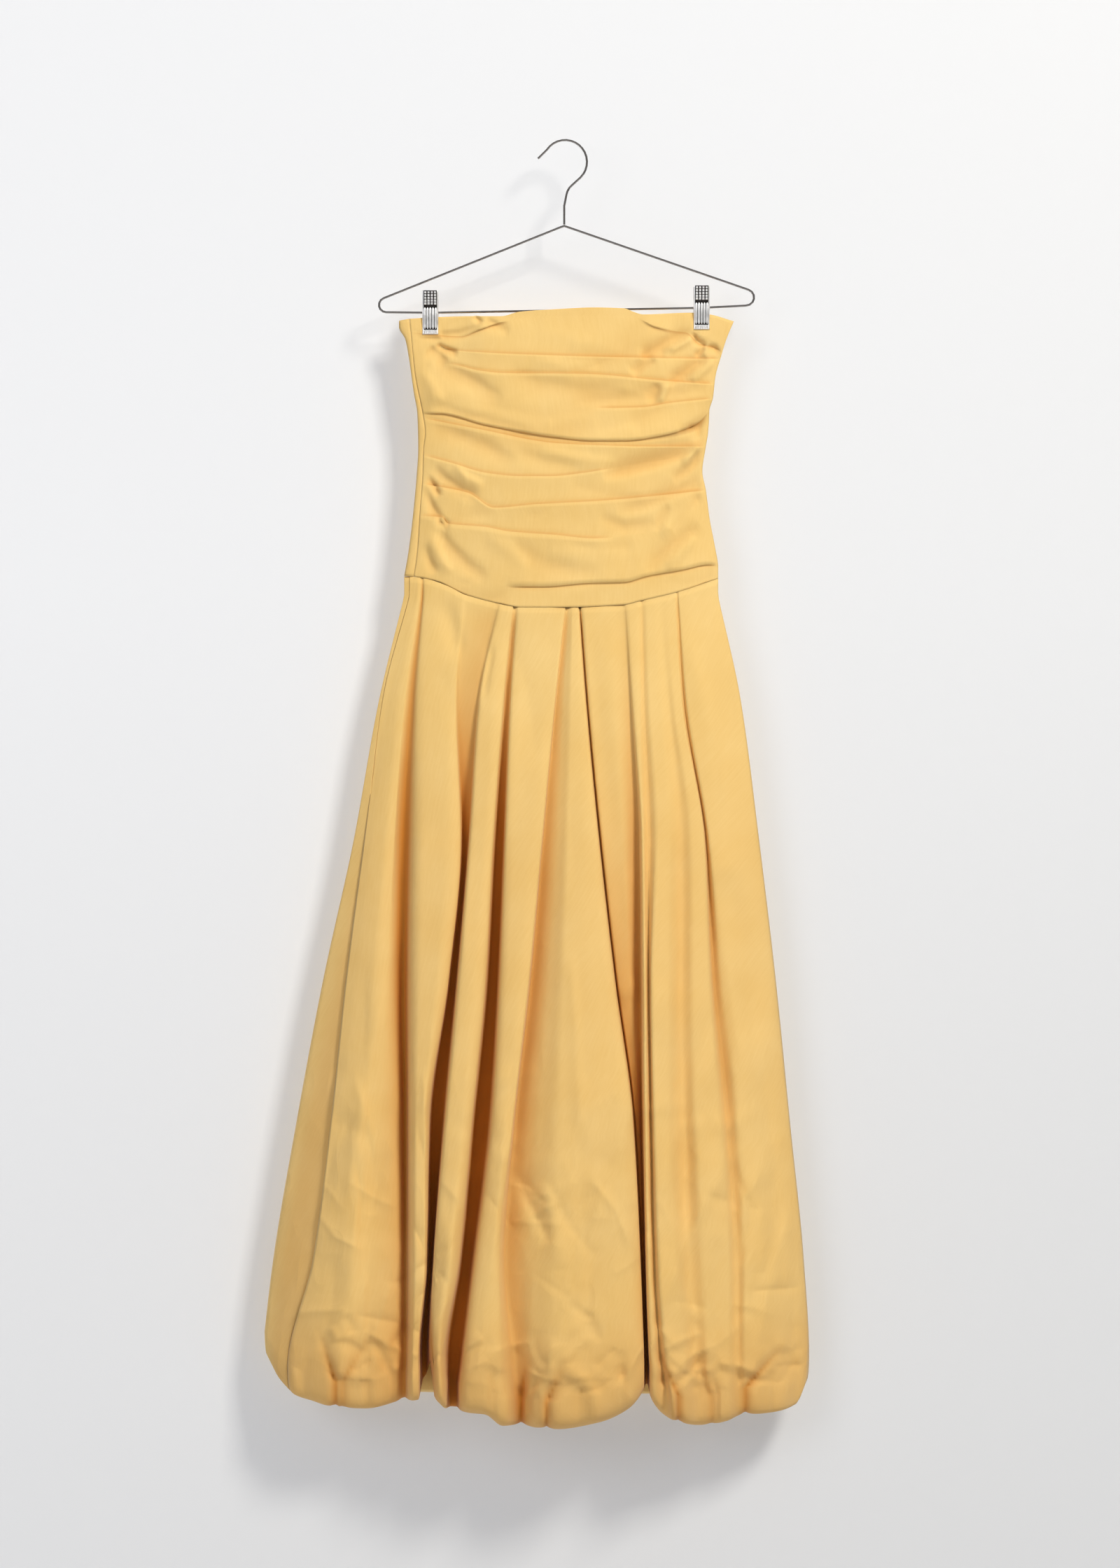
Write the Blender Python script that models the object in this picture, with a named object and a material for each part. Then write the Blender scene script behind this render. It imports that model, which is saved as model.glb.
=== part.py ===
"""A strapless maxi dress with a draped bodice and a bubble hem, clipped to a wire hanger.

Blender 4.5. Lengths are in millimetres until a mesh is made, where they become metres.
The frame: +X is the viewer's right, -Y points at the viewer, +Z is up, and the origin is
the inner top of the hook, where a peg would carry it.

The fold and outline tables are widths and heights as they line up, seen square-on from
VIEW_DISTANCE, on the upright plane of the hanger. in_space() draws a point that lies
nearer than that plane in towards the line of sight.
"""

import math
from dataclasses import dataclass

import bmesh
import bpy
from mathutils import Matrix, Vector

MM = 0.001

# Driving dimensions
CLOTH = 1.5
LINING_CLOTH = 1.0
SEAM_GAP = 0.3
WAIST_GAP = 0.5
EDGE_SET = 3.3
WIRE = 2.6
WIRE_SIDES = 10
VIEW_DISTANCE = 5000.0
VIEW_HEIGHT = -735.0

# Heights of the hook, neck and bar
NECK_HEIGHT = -97.0
BAR_LEFT_HEIGHT = -195.6
BAR_RIGHT_HEIGHT = -188.0

# Heights that split the cloth
WAIST = -520.0
LEVELS = (WAIST, -640.0, -800.0, -960.0, -1120.0, -1280.0, -1390.0)
MIDDLE = -850.0

# How far the front swells out of the hanger's plane, and the back behind it. The higher
# the roundness, the flatter the middle and the faster the sides turn back.
SWELL_HEIGHTS = (-200.0, -300.0, -420.0, WAIST, -640.0, -800.0, -960.0, -1120.0, -1280.0, -1390.0)
FRONT_SWELL = (8.0, 13.0, 15.0, 14.0, 24.0, 44.0, 64.0, 82.0, 96.0, 102.0)
BACK_SWELL = (4.0, 7.0, 9.0, 9.0, 13.0, 20.0, 27.0, 34.0, 40.0, 42.0)
FRONT_ROUNDNESS = 2.4
BACK_ROUNDNESS = 4.0
SIDE_POWER = 0.75

# Outlines: height, then x
BODICE_LEFT = ((-205, -189), (-213, -189), (-226, -182), (-246, -178), (-288, -172), (-312, -168),
               (-351, -167), (-384, -169), (-418, -172), (-468, -178), (-497, -183))
BODICE_SEAM = ((-203, -177), (-223, -175), (-271, -170), (-310, -162), (-334, -159), (-351, -161),
               (-384, -162), (-423, -165), (-468, -168), (-498, -172))
BODICE_RIGHT = ((-206, 194), (-225, 186), (-244, 180), (-269, 173), (-294, 170), (-308, 166),
                (-330, 165), (-349, 162), (-378, 158), (-399, 162), (-430, 166), (-467, 173),
                (-486, 176), (-500, 176))
SKIRT_LEFT = (-183, -212, -241, -276, -306, -333, -346)
SKIRT_RIGHT = (176, 202, 223, 242, 258, 274, 280)

# Across the front: x, then height
BODICE_TOP = ((-177, -203), (-144, -201), (-106, -200), (-72, -200), (-51, -195), (-9, -192),
              (34, -190), (68, -191), (79, -195), (90, -198), (146, -196), (166, -198), (194, -206))
WAIST_SEAM = ((-183, -497), (-172, -498), (-146, -503), (-112, -519), (-72, -529), (-48, -533),
              (2, -533), (69, -530), (86, -526), (128, -516), (176, -500))
BACK_TOP = ((-189, -213), (-182, -205), (-170, -204), (0, -205), (194, -207))
BACK_WAIST = ((-183, -497.6), (0, -506), (176, -500))
# The back of the bodice: rows down, and columns across its flat part
BACK_ROWS = (0.0, 0.08, 0.22, 0.36, 0.5, 0.64, 0.78, 0.9, 1.0)
BACK_FLATS = 13
BACK_RIGHT_INSET = 5.0
BACK_LEFT_INSET = 3.5
BACK_EDGE_INSET = 0.4
TURN_SHARE = 0.45
TURN_DEPTH = 0.62

BACK_HEM = ((-344, -1391), (-331, -1397), (-318, -1408), (-290, -1426), (0, -1432), (225, -1432),
            (258, -1428), (270, -1418))
LINING_HEM = ((-300, -1426), (-240, -1434), (-150, -1438), (100, -1440), (180, -1434), (240, -1426))

# Rows of the skirt: fixed heights down to SPLIT, then shares of what is left to the hem
UPPER_ROWS = (WAIST, -545.0, -582.0, -640.0, -720.0, -800.0, -880.0, -960.0, -1040.0, -1120.0)
SPLIT = -1190.0
LOWER_ROWS = (0.0, 0.28, 0.54, 0.78, 1.0)
SEAM_FADE = 190.0

# The back of the skirt lies this far inside the outlines, and its pleats deepen downwards
SKIRT_INSET = 5.0
WAIST_INSET = 4.0
HEM_INSETS = (8.0, 14.0)
PLEAT_AT_WAIST = 0.3
PLEAT_RIPE = 350.0
LAST_STATIONS = (0.967, 1.0)
EDGE_CLOSING = 300.0
EDGE_CLOSED = 2.6

# The hem rolls under and runs back to the lining
ROLL = 12.0
ROLL_ROWS = ((0.10, 3.0), (0.38, 0.0), (1.0, 3.0))
TURN_UP = 44.0
LEAST_TURN = 8.0
INNER_SHARE = 0.15
BACK_INNER = 9.5
BACK_CLEAR = 4.7
SIDE_DRAW = 22.0
SIDE_DRAW_FROM = 0.72
WRAP_DRAW = 26.0

# The band of lining
LINING_SET = 0.6
LINING_TOP = -1310.0
LINING_LEFT = -296.0
LINING_RIGHT = 238.0
LINING_STEPS = 14

# Clips: a jaw's inner face is (distance from the bar's plane, height above the bar)
CLIP_WIDTH = 18.4
CLIP_PLATE = 1.2
CLIP_GRIP = 3.1
JAW_FACE = ((CLIP_GRIP, -25.0), (CLIP_GRIP, -16.0), (5.2, -3.0), (5.6, 5.0), (8.6, 24.5))
CHEEK_SIZE = (1.2, 5.2, 7.0)
CHEEK_SET = 3.2
CHEEK_RISE = 5.4
CLIP_PIN = 2.0
PIN_LIFT = 0.7
PIN_SIDES = 12

# The cloth lies flat under a clip, and further out it swells again
PINCH_FLAT = 28.0
PINCH_FADE = 36.0
PINCH_BELOW_BAR = 33.0
PINCH_DROP = 45.0


@dataclass(frozen=True)
class FoldLine:
    """One upright line of the skirt's front: a lip, a floor or a crown.

    across is its x at each of LEVELS; hem_x and hem_z are where it meets the hem.
    set_back is the share of the local swell that it lies back by, at the waist, MIDDLE and hem.
    """

    name: str
    across: tuple
    hem_x: float
    hem_z: float
    set_back: tuple


FRONT_FOLDS = (
    FoldLine("side seam", (-177, -208, -227, -247, -263, -286, -316), -318, -1429, (0.2, 0.6, 0.6)),
    FoldLine("a lip", (-175, -206, -229, -250, -267, -288, -313), -313, -1433, (0.2, 0.05, 0.0)),
    FoldLine("a left", (-171, -200, -219, -237, -253, -269, -291), -289, -1440, (0.1, 0.0, 0.0)),
    FoldLine("a crown", (-168, -191, -206, -221, -234, -245, -261), -261, -1448, (0.0, 0.0, 0.0)),
    FoldLine("a right", (-166, -182, -195, -203, -214, -224, -226), -228, -1449, (0.1, 0.05, 0.05)),
    FoldLine("1 left", (-164, -176, -185, -190, -188, -186, -189), -198, -1441, (0.2, 0.2, 0.32)),
    FoldLine("1 floor", (-162, -172, -178, -182, -180, -178, -178), -182, -1436, (0.6, 0.75, 0.5)),
    FoldLine("1 right", (-160, -168, -171, -174, -173, -171, -175), -177, -1439, (0.1, 0.1, 0.25)),
    FoldLine("b left", (-155, -160, -162, -166, -167, -166, -171), -172, -1440, (0.0, 0.0, 0.12)),
    FoldLine("b right", (-133, -134, -137, -147, -161, -161, -168), -167, -1439, (0.0, 0.0, 0.15)),
    FoldLine("2 left", (-115, -124, -119, -133, -155, -157, -165.5), -163.5, -1434, (0.05, 0.15, 0.2)),
    FoldLine("2 floor left", (-112, -122, -116, -130, -151, -154, -161.5), -158.5, -1400, (0.15, 0.7, 0.7)),
    FoldLine("2 floor right", (-74, -99, -110, -124, -139, -151, -157.5), -154.5, -1398, (0.3, 0.6, 0.65)),
    FoldLine("c lip", (-72, -97, -108, -121, -136, -149, -153.5), -150.5, -1399, (0.1, 0.05, 0.1)),
    FoldLine("c left", (-69, -94, -105, -118, -133, -146, -149.5), -145.5, -1437, (0.0, 0.0, 0.04)),
    FoldLine("c crown", (-64, -82, -93, -105, -118, -132, -144), -139, -1444, (0.0, 0.0, 0.0)),
    FoldLine("3 left", (-58, -70, -82, -91, -106, -121, -137), -132, -1449, (0.1, 0.1, 0.15)),
    FoldLine("3 floor left", (-56, -67, -78, -86, -102, -116, -131), -129, -1447, (0.4, 0.72, 0.6)),
    FoldLine("3 floor right", (-54, -63, -70, -77, -87, -107, -125), -126, -1449, (0.3, 0.68, 0.5)),
    FoldLine("3 right", (-52, -61, -67, -73, -82, -102, -121), -123, -1452, (0.08, 0.1, 0.1)),
    FoldLine("d left", (-45, -51, -58, -66, -74, -93, -110), -110, -1454, (0.0, 0.02, 0.02)),
    FoldLine("d crown", (-13, -29, -41, -53, -67, -83, -93), -87, -1456, (0.0, 0.0, 0.0)),
    FoldLine("4 lip", (2, -11, -26, -41, -59, -75, -75), -66, -1469, (0.05, 0.05, 0.05)),
    FoldLine("4 floor", (4, -9, -24, -38, -56, -67, -56), -50, -1469, (0.35, 0.42, 0.12)),
    FoldLine("4 right", (7, 0, -7, -17, -27, -35, -33), -30, -1471, (0.15, 0.15, 0.05)),
    FoldLine("e left", (10, 8, 5, 0, -5, -9, -9), -13, -1473, (0.0, 0.03, 0.0)),
    FoldLine("e crown", (12, 16, 21, 26, 32, 37, 39), 40, -1465, (0.0, 0.0, 0.0)),
    FoldLine("e right", (13.5, 21, 32, 45, 61, 70, 74), 70, -1450, (0.02, 0.02, 0.03)),
    FoldLine("e lip", (15, 24, 39, 57, 78, 87, 91), 92, -1427, (0.06, 0.1, 0.12)),
    FoldLine("5 floor", (17, 26, 41, 59, 80, 88.5, 92.5), 94, -1422, (0.6, 0.55, 0.66)),
    FoldLine("f left", (19, 28, 43, 61, 82, 90, 94), 97, -1421, (0.08, 0.3, 0.7)),
    FoldLine("f middle", (45, 54, 66, 74, 85, 91.5, 95.5), 101, -1421, (0.04, 0.3, 0.72)),
    FoldLine("6 floor", (68, 76, 85, 87, 88.5, 93, 97), 106, -1422, (0.2, 0.5, 0.66)),
    FoldLine("g lip", (70, 78, 88, 89.5, 91, 94.5, 98.5), 110, -1447, (0.05, 0.12, 0.15)),
    FoldLine("g crown", (78, 82, 90, 92, 93.5, 97, 102), 114, -1452, (0.0, 0.05, 0.05)),
    FoldLine("7 left", (86, 87, 92, 94, 96, 100, 106), 118, -1454, (0.05, 0.1, 0.08)),
    FoldLine("7 floor", (88, 90, 96, 96.5, 99, 103, 110), 123, -1458, (0.25, 0.18, 0.1)),
    FoldLine("h ridge", (93, 97, 106, 100, 103, 108, 117), 130, -1463, (0.04, 0.0, 0.0)),
    FoldLine("h crown", (102, 109, 119, 117, 118, 125, 135), 142, -1467, (0.0, 0.02, 0.02)),
    FoldLine("h valley", (110, 119, 134, 133, 137, 143, 151), 157, -1468, (0.05, 0.16, 0.1)),
    FoldLine("h right", (118, 126, 147, 149, 152, 162, 167), 171, -1467, (0.02, 0.02, 0.02)),
    FoldLine("8 left", (126, 134, 160, 166, 178, 187, 187), 187, -1463, (0.05, 0.06, 0.02)),
    FoldLine("8 floor", (129, 137, 162, 171, 187, 197, 198), 198, -1458, (0.35, 0.35, 0.06)),
    FoldLine("8 right", (131, 140, 166, 181, 200, 208, 208), 208, -1456, (0.05, 0.08, 0.02)),
    FoldLine("i left", (141, 157, 181, 200, 219, 229, 229), 223, -1455, (0.0, 0.0, 0.0)),
    FoldLine("i crown", (158, 179, 202, 221, 239, 251, 253), 245, -1452, (0.0, 0.0, 0.0)),
    FoldLine("i right", (170, 194, 216, 234, 251, 267, 272), 262, -1445, (0.0, 0.0, 0.0)),
    FoldLine("right edge", SKIRT_RIGHT, 271, -1420, (0.0, 0.0, 0.0)),
)


@dataclass(frozen=True)
class BackPleat:
    """One pleat of the skirt's back: its share of the way across, and how deep it lies."""

    share: float
    depth: float


BACK_PLEATS = (
    BackPleat(0.07, 0.30),
    BackPleat(0.18, 0.45),
    BackPleat(0.29, 0.38),
    BackPleat(0.41, 0.50),
    BackPleat(0.52, 0.35),
    BackPleat(0.63, 0.48),
    BackPleat(0.75, 0.40),
    BackPleat(0.86, 0.46),
)
BACK_PLEAT_HALF_WIDTH = 0.018
BACK_PLEAT_LIP = 0.12


@dataclass(frozen=True)
class WrapLine:
    """One line of the back where it comes forward round the left edge, to the side seam.

    forward is the share of that way; inner_y is how far back its turned-up end stands.
    """

    forward: float
    hem_x: float
    hem_z: float
    inner_y: float


WRAP_LINES = (
    WrapLine(0.0, -344.0, -1391.0, 5.5),
    WrapLine(0.5, -331.0, -1414.0, 0.5),
    WrapLine(1.0, -319.2, -1429.0, -4.6),
)
WRAP_SET = 0.4
WRAP_POWER = 0.8


@dataclass(frozen=True)
class Tuck:
    """A fold that crosses the bodice: points of its line, and the step of the cloth there.

    step is how far one layer stands proud at the line; above tells whether it is the upper
    one. The proud layer sinks back over reach. gaps are stretches of x without the tuck.
    """

    name: str
    line: tuple
    step: float
    above: bool
    reach: float
    gaps: tuple = ()


TUCKS = (
    Tuck("top band", ((-181, -218), (-118, -223), (-96, -215), (-70, -207), (-49, -204), (-9, -201),
                      (34, -200), (71, -200), (82, -202), (103, -212), (124, -217), (140, -219),
                      (154, -231), (173, -236), (184, -244)),
         2.6, True, 20.0, ((-60, 84),)),
    Tuck("first", ((-178, -229), (-149, -234), (-128, -239), (-6, -245), (114, -248), (184, -249)),
         2.0, False, 26.0, ((-190, -152),)),
    Tuck("second", ((-172, -254), (-130, -255), (-98, -262), (-70, -265), (23, -266), (116, -274),
                    (174, -278)), 2.4, False, 30.0, ((-190, -140),)),
    Tuck("third", ((-168, -287), (-85, -299), (53, -305), (90, -304), (122, -299), (172, -294)),
         1.4, False, 22.0, ((-190, 30),)),
    Tuck("great fold", ((-166, -311), (-144, -311), (-90, -324), (-11, -338), (34, -342), (69, -342),
                        (114, -336), (141, -328), (156, -320), (166, -308)), 5.0, True, 44.0),
    Tuck("under fold", ((-166, -316), (-98, -329), (-11, -345), (26, -347), (95, -349), (162, -349)),
         2.0, False, 24.0),
    Tuck("sixth", ((-165, -358), (-128, -368), (-90, -379), (-48, -383), (-17, -383), (23, -379),
                   (42, -376), (99, -366), (160, -360)), 1.2, False, 20.0, ((60, 180),)),
    Tuck("seventh", ((-166, -391), (-110, -402), (-80, -419), (-32, -415), (42, -411), (108, -405),
                     (162, -399)), 1.8, False, 22.0),
    Tuck("eighth", ((-168, -428), (-140, -430), (-133, -437), (-90, -441), (-64, -446), (-11, -450),
                    (34, -454), (99, -447), (168, -435)), 2.0, False, 24.0, ((60, 180),)),
    Tuck("low fold", ((-176, -471), (-117, -491), (-56, -509), (-24, -509), (29, -505), (69, -504),
                      (95, -497), (135, -490), (166, -484), (176, -485)),
         4.0, True, 36.0, ((-190, -70),)),
)
TUCK_HALF_STEP = 0.7
TUCK_EASE = 26.0
TUCK_SINK = 1.6
TUCK_EDGE_FADE = 12.0
ROW_BETWEEN = 0.5
ROW_UNDER_TOP = 0.6
BODICE_COLUMNS = 21


@dataclass(frozen=True)
class Clip:
    """A clip on the bar: its name, its middle and the bar's height there."""

    name: str
    x: float
    bar: float


CLIPS = (Clip("left", -153.0, -196.2), Clip("right", 157.0, -190.6))


@dataclass(frozen=True)
class Bend:
    """A round bend of the hanger's wire: its centre, radius, and angles from +X in degrees."""

    x: float
    z: float
    radius: float
    start: float
    stop: float
    steps: int


HOOK_TIP = (-30.0, -20.0)
HOOK_BEND = Bend(1.0, WIRE / 2 - 25.0, 25.0, 146.0, -46.0, 16)
STEM_BEND = Bend(20.2, -64.3, 18.0, 128.0, 172.0, 3)
STEM_TOP = -74.0
PEAK_HALF_WIDTH = 4.0
LEFT_BEND = Bend(-203.5, BAR_LEFT_HEIGHT + 8.3, 8.3, 112.0, 270.0, 6)
RIGHT_BEND = Bend(207.7, BAR_RIGHT_HEIGHT + 9.3, 9.3, -90.0, 71.0, 6)


def through(points, at):
    """Read a smooth line through (place, value) points without overshoot."""
    ordered = sorted(points)
    places = [place for place, _ in ordered]
    values = [value for _, value in ordered]
    if at <= places[0]:
        return values[0]
    if at >= places[-1]:
        return values[-1]
    spans = [b - a for a, b in zip(places, places[1:])]
    slopes = [(b - a) / span for a, b, span in zip(values, values[1:], spans)]
    tangents = [slopes[0]]
    for before, after in zip(slopes, slopes[1:]):
        same_way = before * after > 0
        tangents.append(2 * before * after / (before + after) if same_way else 0.0)
    tangents.append(slopes[-1])
    index = next(i for i, place in enumerate(places[1:]) if at <= place)
    span = spans[index]
    t = (at - places[index]) / span
    return ((2 * t**3 - 3 * t**2 + 1) * values[index] + (t**3 - 2 * t**2 + t) * span * tangents[index]
            + (3 * t**2 - 2 * t**3) * values[index + 1] + (t**3 - t**2) * span * tangents[index + 1])


def ease(t):
    """Go from 0 to 1 with level ends."""
    t = min(max(t, 0.0), 1.0)
    return t * t * (3 - 2 * t)


def mix(a, b, share):
    """Go from a to b."""
    return a + (b - a) * share


def in_space(x, y, z):
    """Return the point, in metres, that lines up with x and z on the hanger's plane."""
    nearer = 1 + y / VIEW_DISTANCE
    return Vector((x * nearer, y, VIEW_HEIGHT + (z - VIEW_HEIGHT) * nearer)) * MM


def cloth_edges(z):
    """Return the x of the left and right outlines at height z."""
    if z > WAIST_SEAM[0][1]:
        return through(BODICE_LEFT, z), through(BODICE_RIGHT, z)
    return through(tuple(zip(LEVELS, SKIRT_LEFT)), z), through(tuple(zip(LEVELS, SKIRT_RIGHT)), z)


def span_share(x, z):
    """Return where x lies between the outlines at height z, from -1 to 1."""
    left, right = cloth_edges(z)
    return (2 * x - left - right) / (right - left)


def swell(table, x, z, roundness):
    """Return how far the cloth stands off the hanger's plane."""
    share = min(abs(span_share(x, z)), 1.0)
    return through(tuple(zip(SWELL_HEIGHTS, table)), z) * (1 - share**roundness)**SIDE_POWER


def front_swell(x, z):
    """Return how far the front stands off at its widest."""
    return swell(FRONT_SWELL, x, z, FRONT_ROUNDNESS)


def back_swell(x, z):
    """Return how far the back stands off at its widest."""
    return swell(BACK_SWELL, x, z, BACK_ROUNDNESS)


def pinched(depth, x, z):
    """Flatten the cloth where a clip grips it."""
    grip = CLIP_GRIP - SEAM_GAP
    for clip in CLIPS:
        near = 1 - ease((abs(x - clip.x) - PINCH_FLAT) / PINCH_FADE)
        near *= 1 - ease((clip.bar - PINCH_BELOW_BAR - z) / PINCH_DROP)
        depth = mix(depth, grip, near)
    return depth


def make_material(name, colour, roughness, metallic=0.0):
    """Make a plain surface."""
    material = bpy.data.materials.new(name)
    material.use_nodes = True
    shader = material.node_tree.nodes["Principled BSDF"]
    shader.inputs["Base Color"].default_value = (*colour, 1.0)
    shader.inputs["Roughness"].default_value = roughness
    shader.inputs["Metallic"].default_value = metallic
    return material


def add_object(name, mesh, material, parent):
    """Add a mesh to the scene as one named piece."""
    piece = bpy.data.objects.new(name, mesh)
    piece.data.materials.append(material)
    piece.parent = parent
    bpy.context.scene.collection.objects.link(piece)
    return piece


def add_sheet(name, rows, material, parent, thickness=CLOTH, tube=False):
    """Make a cloth wall from rows of points; its outer face is the one the points lie on."""
    columns = len(rows[0])
    points = [point for row in rows for point in row]
    last = columns if tube else columns - 1
    faces = []
    for r in range(len(rows) - 1):
        for c in range(last):
            here, right = r * columns + c, r * columns + (c + 1) % columns
            faces.append((here, here + columns, right + columns, right))
    mesh = bpy.data.meshes.new(name)
    mesh.from_pydata(points, [], faces)
    mesh.shade_smooth()
    piece = add_object(name, mesh, material, parent)
    wall = piece.modifiers.new("cloth", "SOLIDIFY")
    wall.thickness = thickness * MM
    wall.offset = -1.0
    return piece


def tuck_relief(x, z):
    """Return how far the tucks lift the front of the bodice at a point."""
    lift = 0.0
    for tuck in TUCKS:
        below = through(tuck.line, x) - z
        on_layer = -below if tuck.above else below
        if not 0 < on_layer < tuck.reach:
            continue
        strength = 1.0
        for start, stop in tuck.gaps:
            outside = max(start - x, x - stop)
            strength *= ease(outside / TUCK_EASE)
        lift += strength * tuck.step * (1 - on_layer / tuck.reach)**TUCK_SINK
    return lift


def bodice_front_lines():
    """Return the front's rows, from the top edge down, each a line across."""
    lines = [lambda x: through(BODICE_TOP, x)]
    seam = WAIST_GAP / 2

    def add(upper, lower, share):
        lines.append(lambda x: mix(upper(x), lower(x), share))

    for tuck in TUCKS:
        def above(x, tuck=tuck):
            return through(tuck.line, x) + TUCK_HALF_STEP

        def below(x, tuck=tuck):
            return through(tuck.line, x) - TUCK_HALF_STEP

        if tuck.name != "under fold":
            add(lines[-1], above, ROW_UNDER_TOP if tuck is TUCKS[0] else ROW_BETWEEN)
        lines.append(above)
        lines.append(below)
    add(lines[-1], lambda x: through(WAIST_SEAM, x) + seam, ROW_BETWEEN)
    lines.append(lambda x: through(WAIST_SEAM, x) + seam)
    return lines


def make_bodice_front(material, parent):
    """Make the draped front: a panel whose rows follow the tucks."""
    rows = []
    for line in bodice_front_lines():
        row = []
        for column in range(BODICE_COLUMNS):
            share = column / (BODICE_COLUMNS - 1)
            z = line(0.0)
            for _ in range(3):
                x = mix(through(BODICE_SEAM, z), through(BODICE_RIGHT, z), share)
                z = line(x)
            lift = tuck_relief(x, z) * ease(TUCK_EDGE_FADE * (1 - share))
            row.append(in_space(x, -pinched(front_swell(x, z) + lift, x, z), z))
        rows.append(row)
    return add_sheet("bodice_front", rows, material, parent)


def make_bodice_back(material, parent):
    """Make the plain back, which wraps round the left edge to the seam on the front."""
    rows = []
    for down in BACK_ROWS:
        def height(x, down=down):
            return mix(through(BACK_TOP, x), through(BACK_WAIST, x) + WAIST_GAP / 2, down)

        z = height(BODICE_RIGHT[-1][1])
        row = [in_space(through(BODICE_RIGHT, z) - BACK_EDGE_INSET, EDGE_SET, z)]
        for flat in range(BACK_FLATS + 1):
            z = height(0.0)
            for _ in range(3):
                right, left = through(BODICE_RIGHT, z), through(BODICE_LEFT, z)
                x = mix(right - BACK_RIGHT_INSET, left + BACK_LEFT_INSET, flat / BACK_FLATS)
                z = height(x)
            depth = pinched(max(back_swell(x, z), EDGE_SET + SEAM_GAP), x, z)
            row.append(in_space(x, depth, z))
        z = height(BODICE_LEFT[-1][1])
        left = through(BODICE_LEFT, z)
        row.append(in_space(left, SEAM_GAP, z))
        seam_z = mix(BODICE_SEAM[0][0], BODICE_SEAM[-1][0] + WAIST_GAP / 2, down)
        seam = through(BODICE_SEAM, seam_z)
        seam_depth = pinched(front_swell(seam, seam_z), seam, seam_z)
        turn_depth = TURN_DEPTH * (seam_depth + 1)
        row.append(in_space(mix(left, seam, TURN_SHARE), -turn_depth, (z + seam_z) / 2))
        row.append(in_space(seam - SEAM_GAP, -seam_depth, seam_z))
        rows.append(row)
    return add_sheet("bodice_back", rows, material, parent)


def line_x(fold, z):
    """Return the x of a fold line at height z."""
    knots = tuple(zip(LEVELS, fold.across)) + ((fold.hem_z, fold.hem_x),)
    return through(knots, z)


def set_back_share(fold, z):
    """Return the share of the swell that a fold line lies back by at height z."""
    return through(tuple(zip((WAIST, MIDDLE, LEVELS[-1]), fold.set_back)), z)


def skirt_heights(hem_z, seam_z):
    """Return the heights of one column from the waist seam to where the hem starts to roll."""
    heights = []
    for row in UPPER_ROWS:
        fade = 1 - ease((WAIST - row) / SEAM_FADE)
        heights.append(row + (seam_z - WAIST_GAP / 2 - WAIST) * fade)
    heights += [mix(SPLIT, hem_z + ROLL, share) for share in LOWER_ROWS]
    return heights


def drawn_in(x, z):
    """Return x drawn in from the side outlines, for what is turned under."""
    share = span_share(x, z)
    near_side = ease((abs(share) - SIDE_DRAW_FROM) / (1 - SIDE_DRAW_FROM))
    return x - math.copysign(SIDE_DRAW * near_side, share)


def turn_under(x, y, hem_z, inner_x, inner_y):
    """Return the points that roll under the hem and stand up against the lining."""
    points = [(mix(x, inner_x, share), mix(y, inner_y, share), hem_z + rise)
              for share, rise in ROLL_ROWS]
    stitched = max(through(LINING_HEM, inner_x) + TURN_UP, hem_z + LEAST_TURN)
    points.append((inner_x, inner_y, stitched))
    return points


def front_column(fold):
    """Return one column of the skirt's front as points in space."""
    points = []
    waist_x = fold.across[0]
    for z in skirt_heights(fold.hem_z, through(WAIST_SEAM, waist_x)):
        x = line_x(fold, z)
        depth = front_swell(x, z) * (1 - set_back_share(fold, z))
        points.append((x, -depth, z))
    x, y, _ = points[-1]
    inner_x = drawn_in(x, LEVELS[-1])
    inner_y = -INNER_SHARE * front_swell(inner_x, LEVELS[-1])
    points += turn_under(x, y, fold.hem_z, inner_x, inner_y)
    return [in_space(*point) for point in points]


def make_skirt_front(material, parent):
    """Make the skirt's front from its fold lines, with the hem turned under."""
    columns = [front_column(fold) for fold in FRONT_FOLDS]
    return add_sheet("skirt_front", list(zip(*columns)), material, parent)


def back_stations():
    """Return the back's columns, from the right edge to the left, as (share, set back)."""
    stations = [(0.0, 0.0)]
    before = 0.0
    for pleat in BACK_PLEATS:
        stations.append(((before + pleat.share) / 2, 0.0))
        stations.append((pleat.share - BACK_PLEAT_HALF_WIDTH, BACK_PLEAT_LIP))
        stations.append((pleat.share, pleat.depth))
        stations.append((pleat.share + BACK_PLEAT_HALF_WIDTH, BACK_PLEAT_LIP))
        before = pleat.share
    stations.append(((before + 1) / 2, 0.0))
    stations += [(share, 0.0) for share in LAST_STATIONS]
    return stations


def back_column(share, depth):
    """Return one column of the skirt's back."""
    points = []
    waist_x = mix(SKIRT_RIGHT[0] - WAIST_INSET, SKIRT_LEFT[0] + WAIST_INSET, share)
    hem_x = mix(SKIRT_RIGHT[-1] - HEM_INSETS[1], SKIRT_LEFT[-1] + HEM_INSETS[0], share)
    hem_z = through(BACK_HEM, hem_x)
    for z in skirt_heights(hem_z, through(BACK_WAIST, waist_x)):
        left, right = cloth_edges(min(z, WAIST))
        x = mix(right - SKIRT_INSET, left + SKIRT_INSET, share)
        ripe = mix(PLEAT_AT_WAIST, 1.0, ease((WAIST - z) / PLEAT_RIPE))
        y = max(back_swell(x, z) * (1 - depth * ripe), BACK_CLEAR)
        points.append((x, y, z))
    x, y, _ = points[-1]
    inner_x = drawn_in(x, LEVELS[-1])
    points += turn_under(x, y, hem_z, inner_x, BACK_INNER)
    return [in_space(*point) for point in points]


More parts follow.
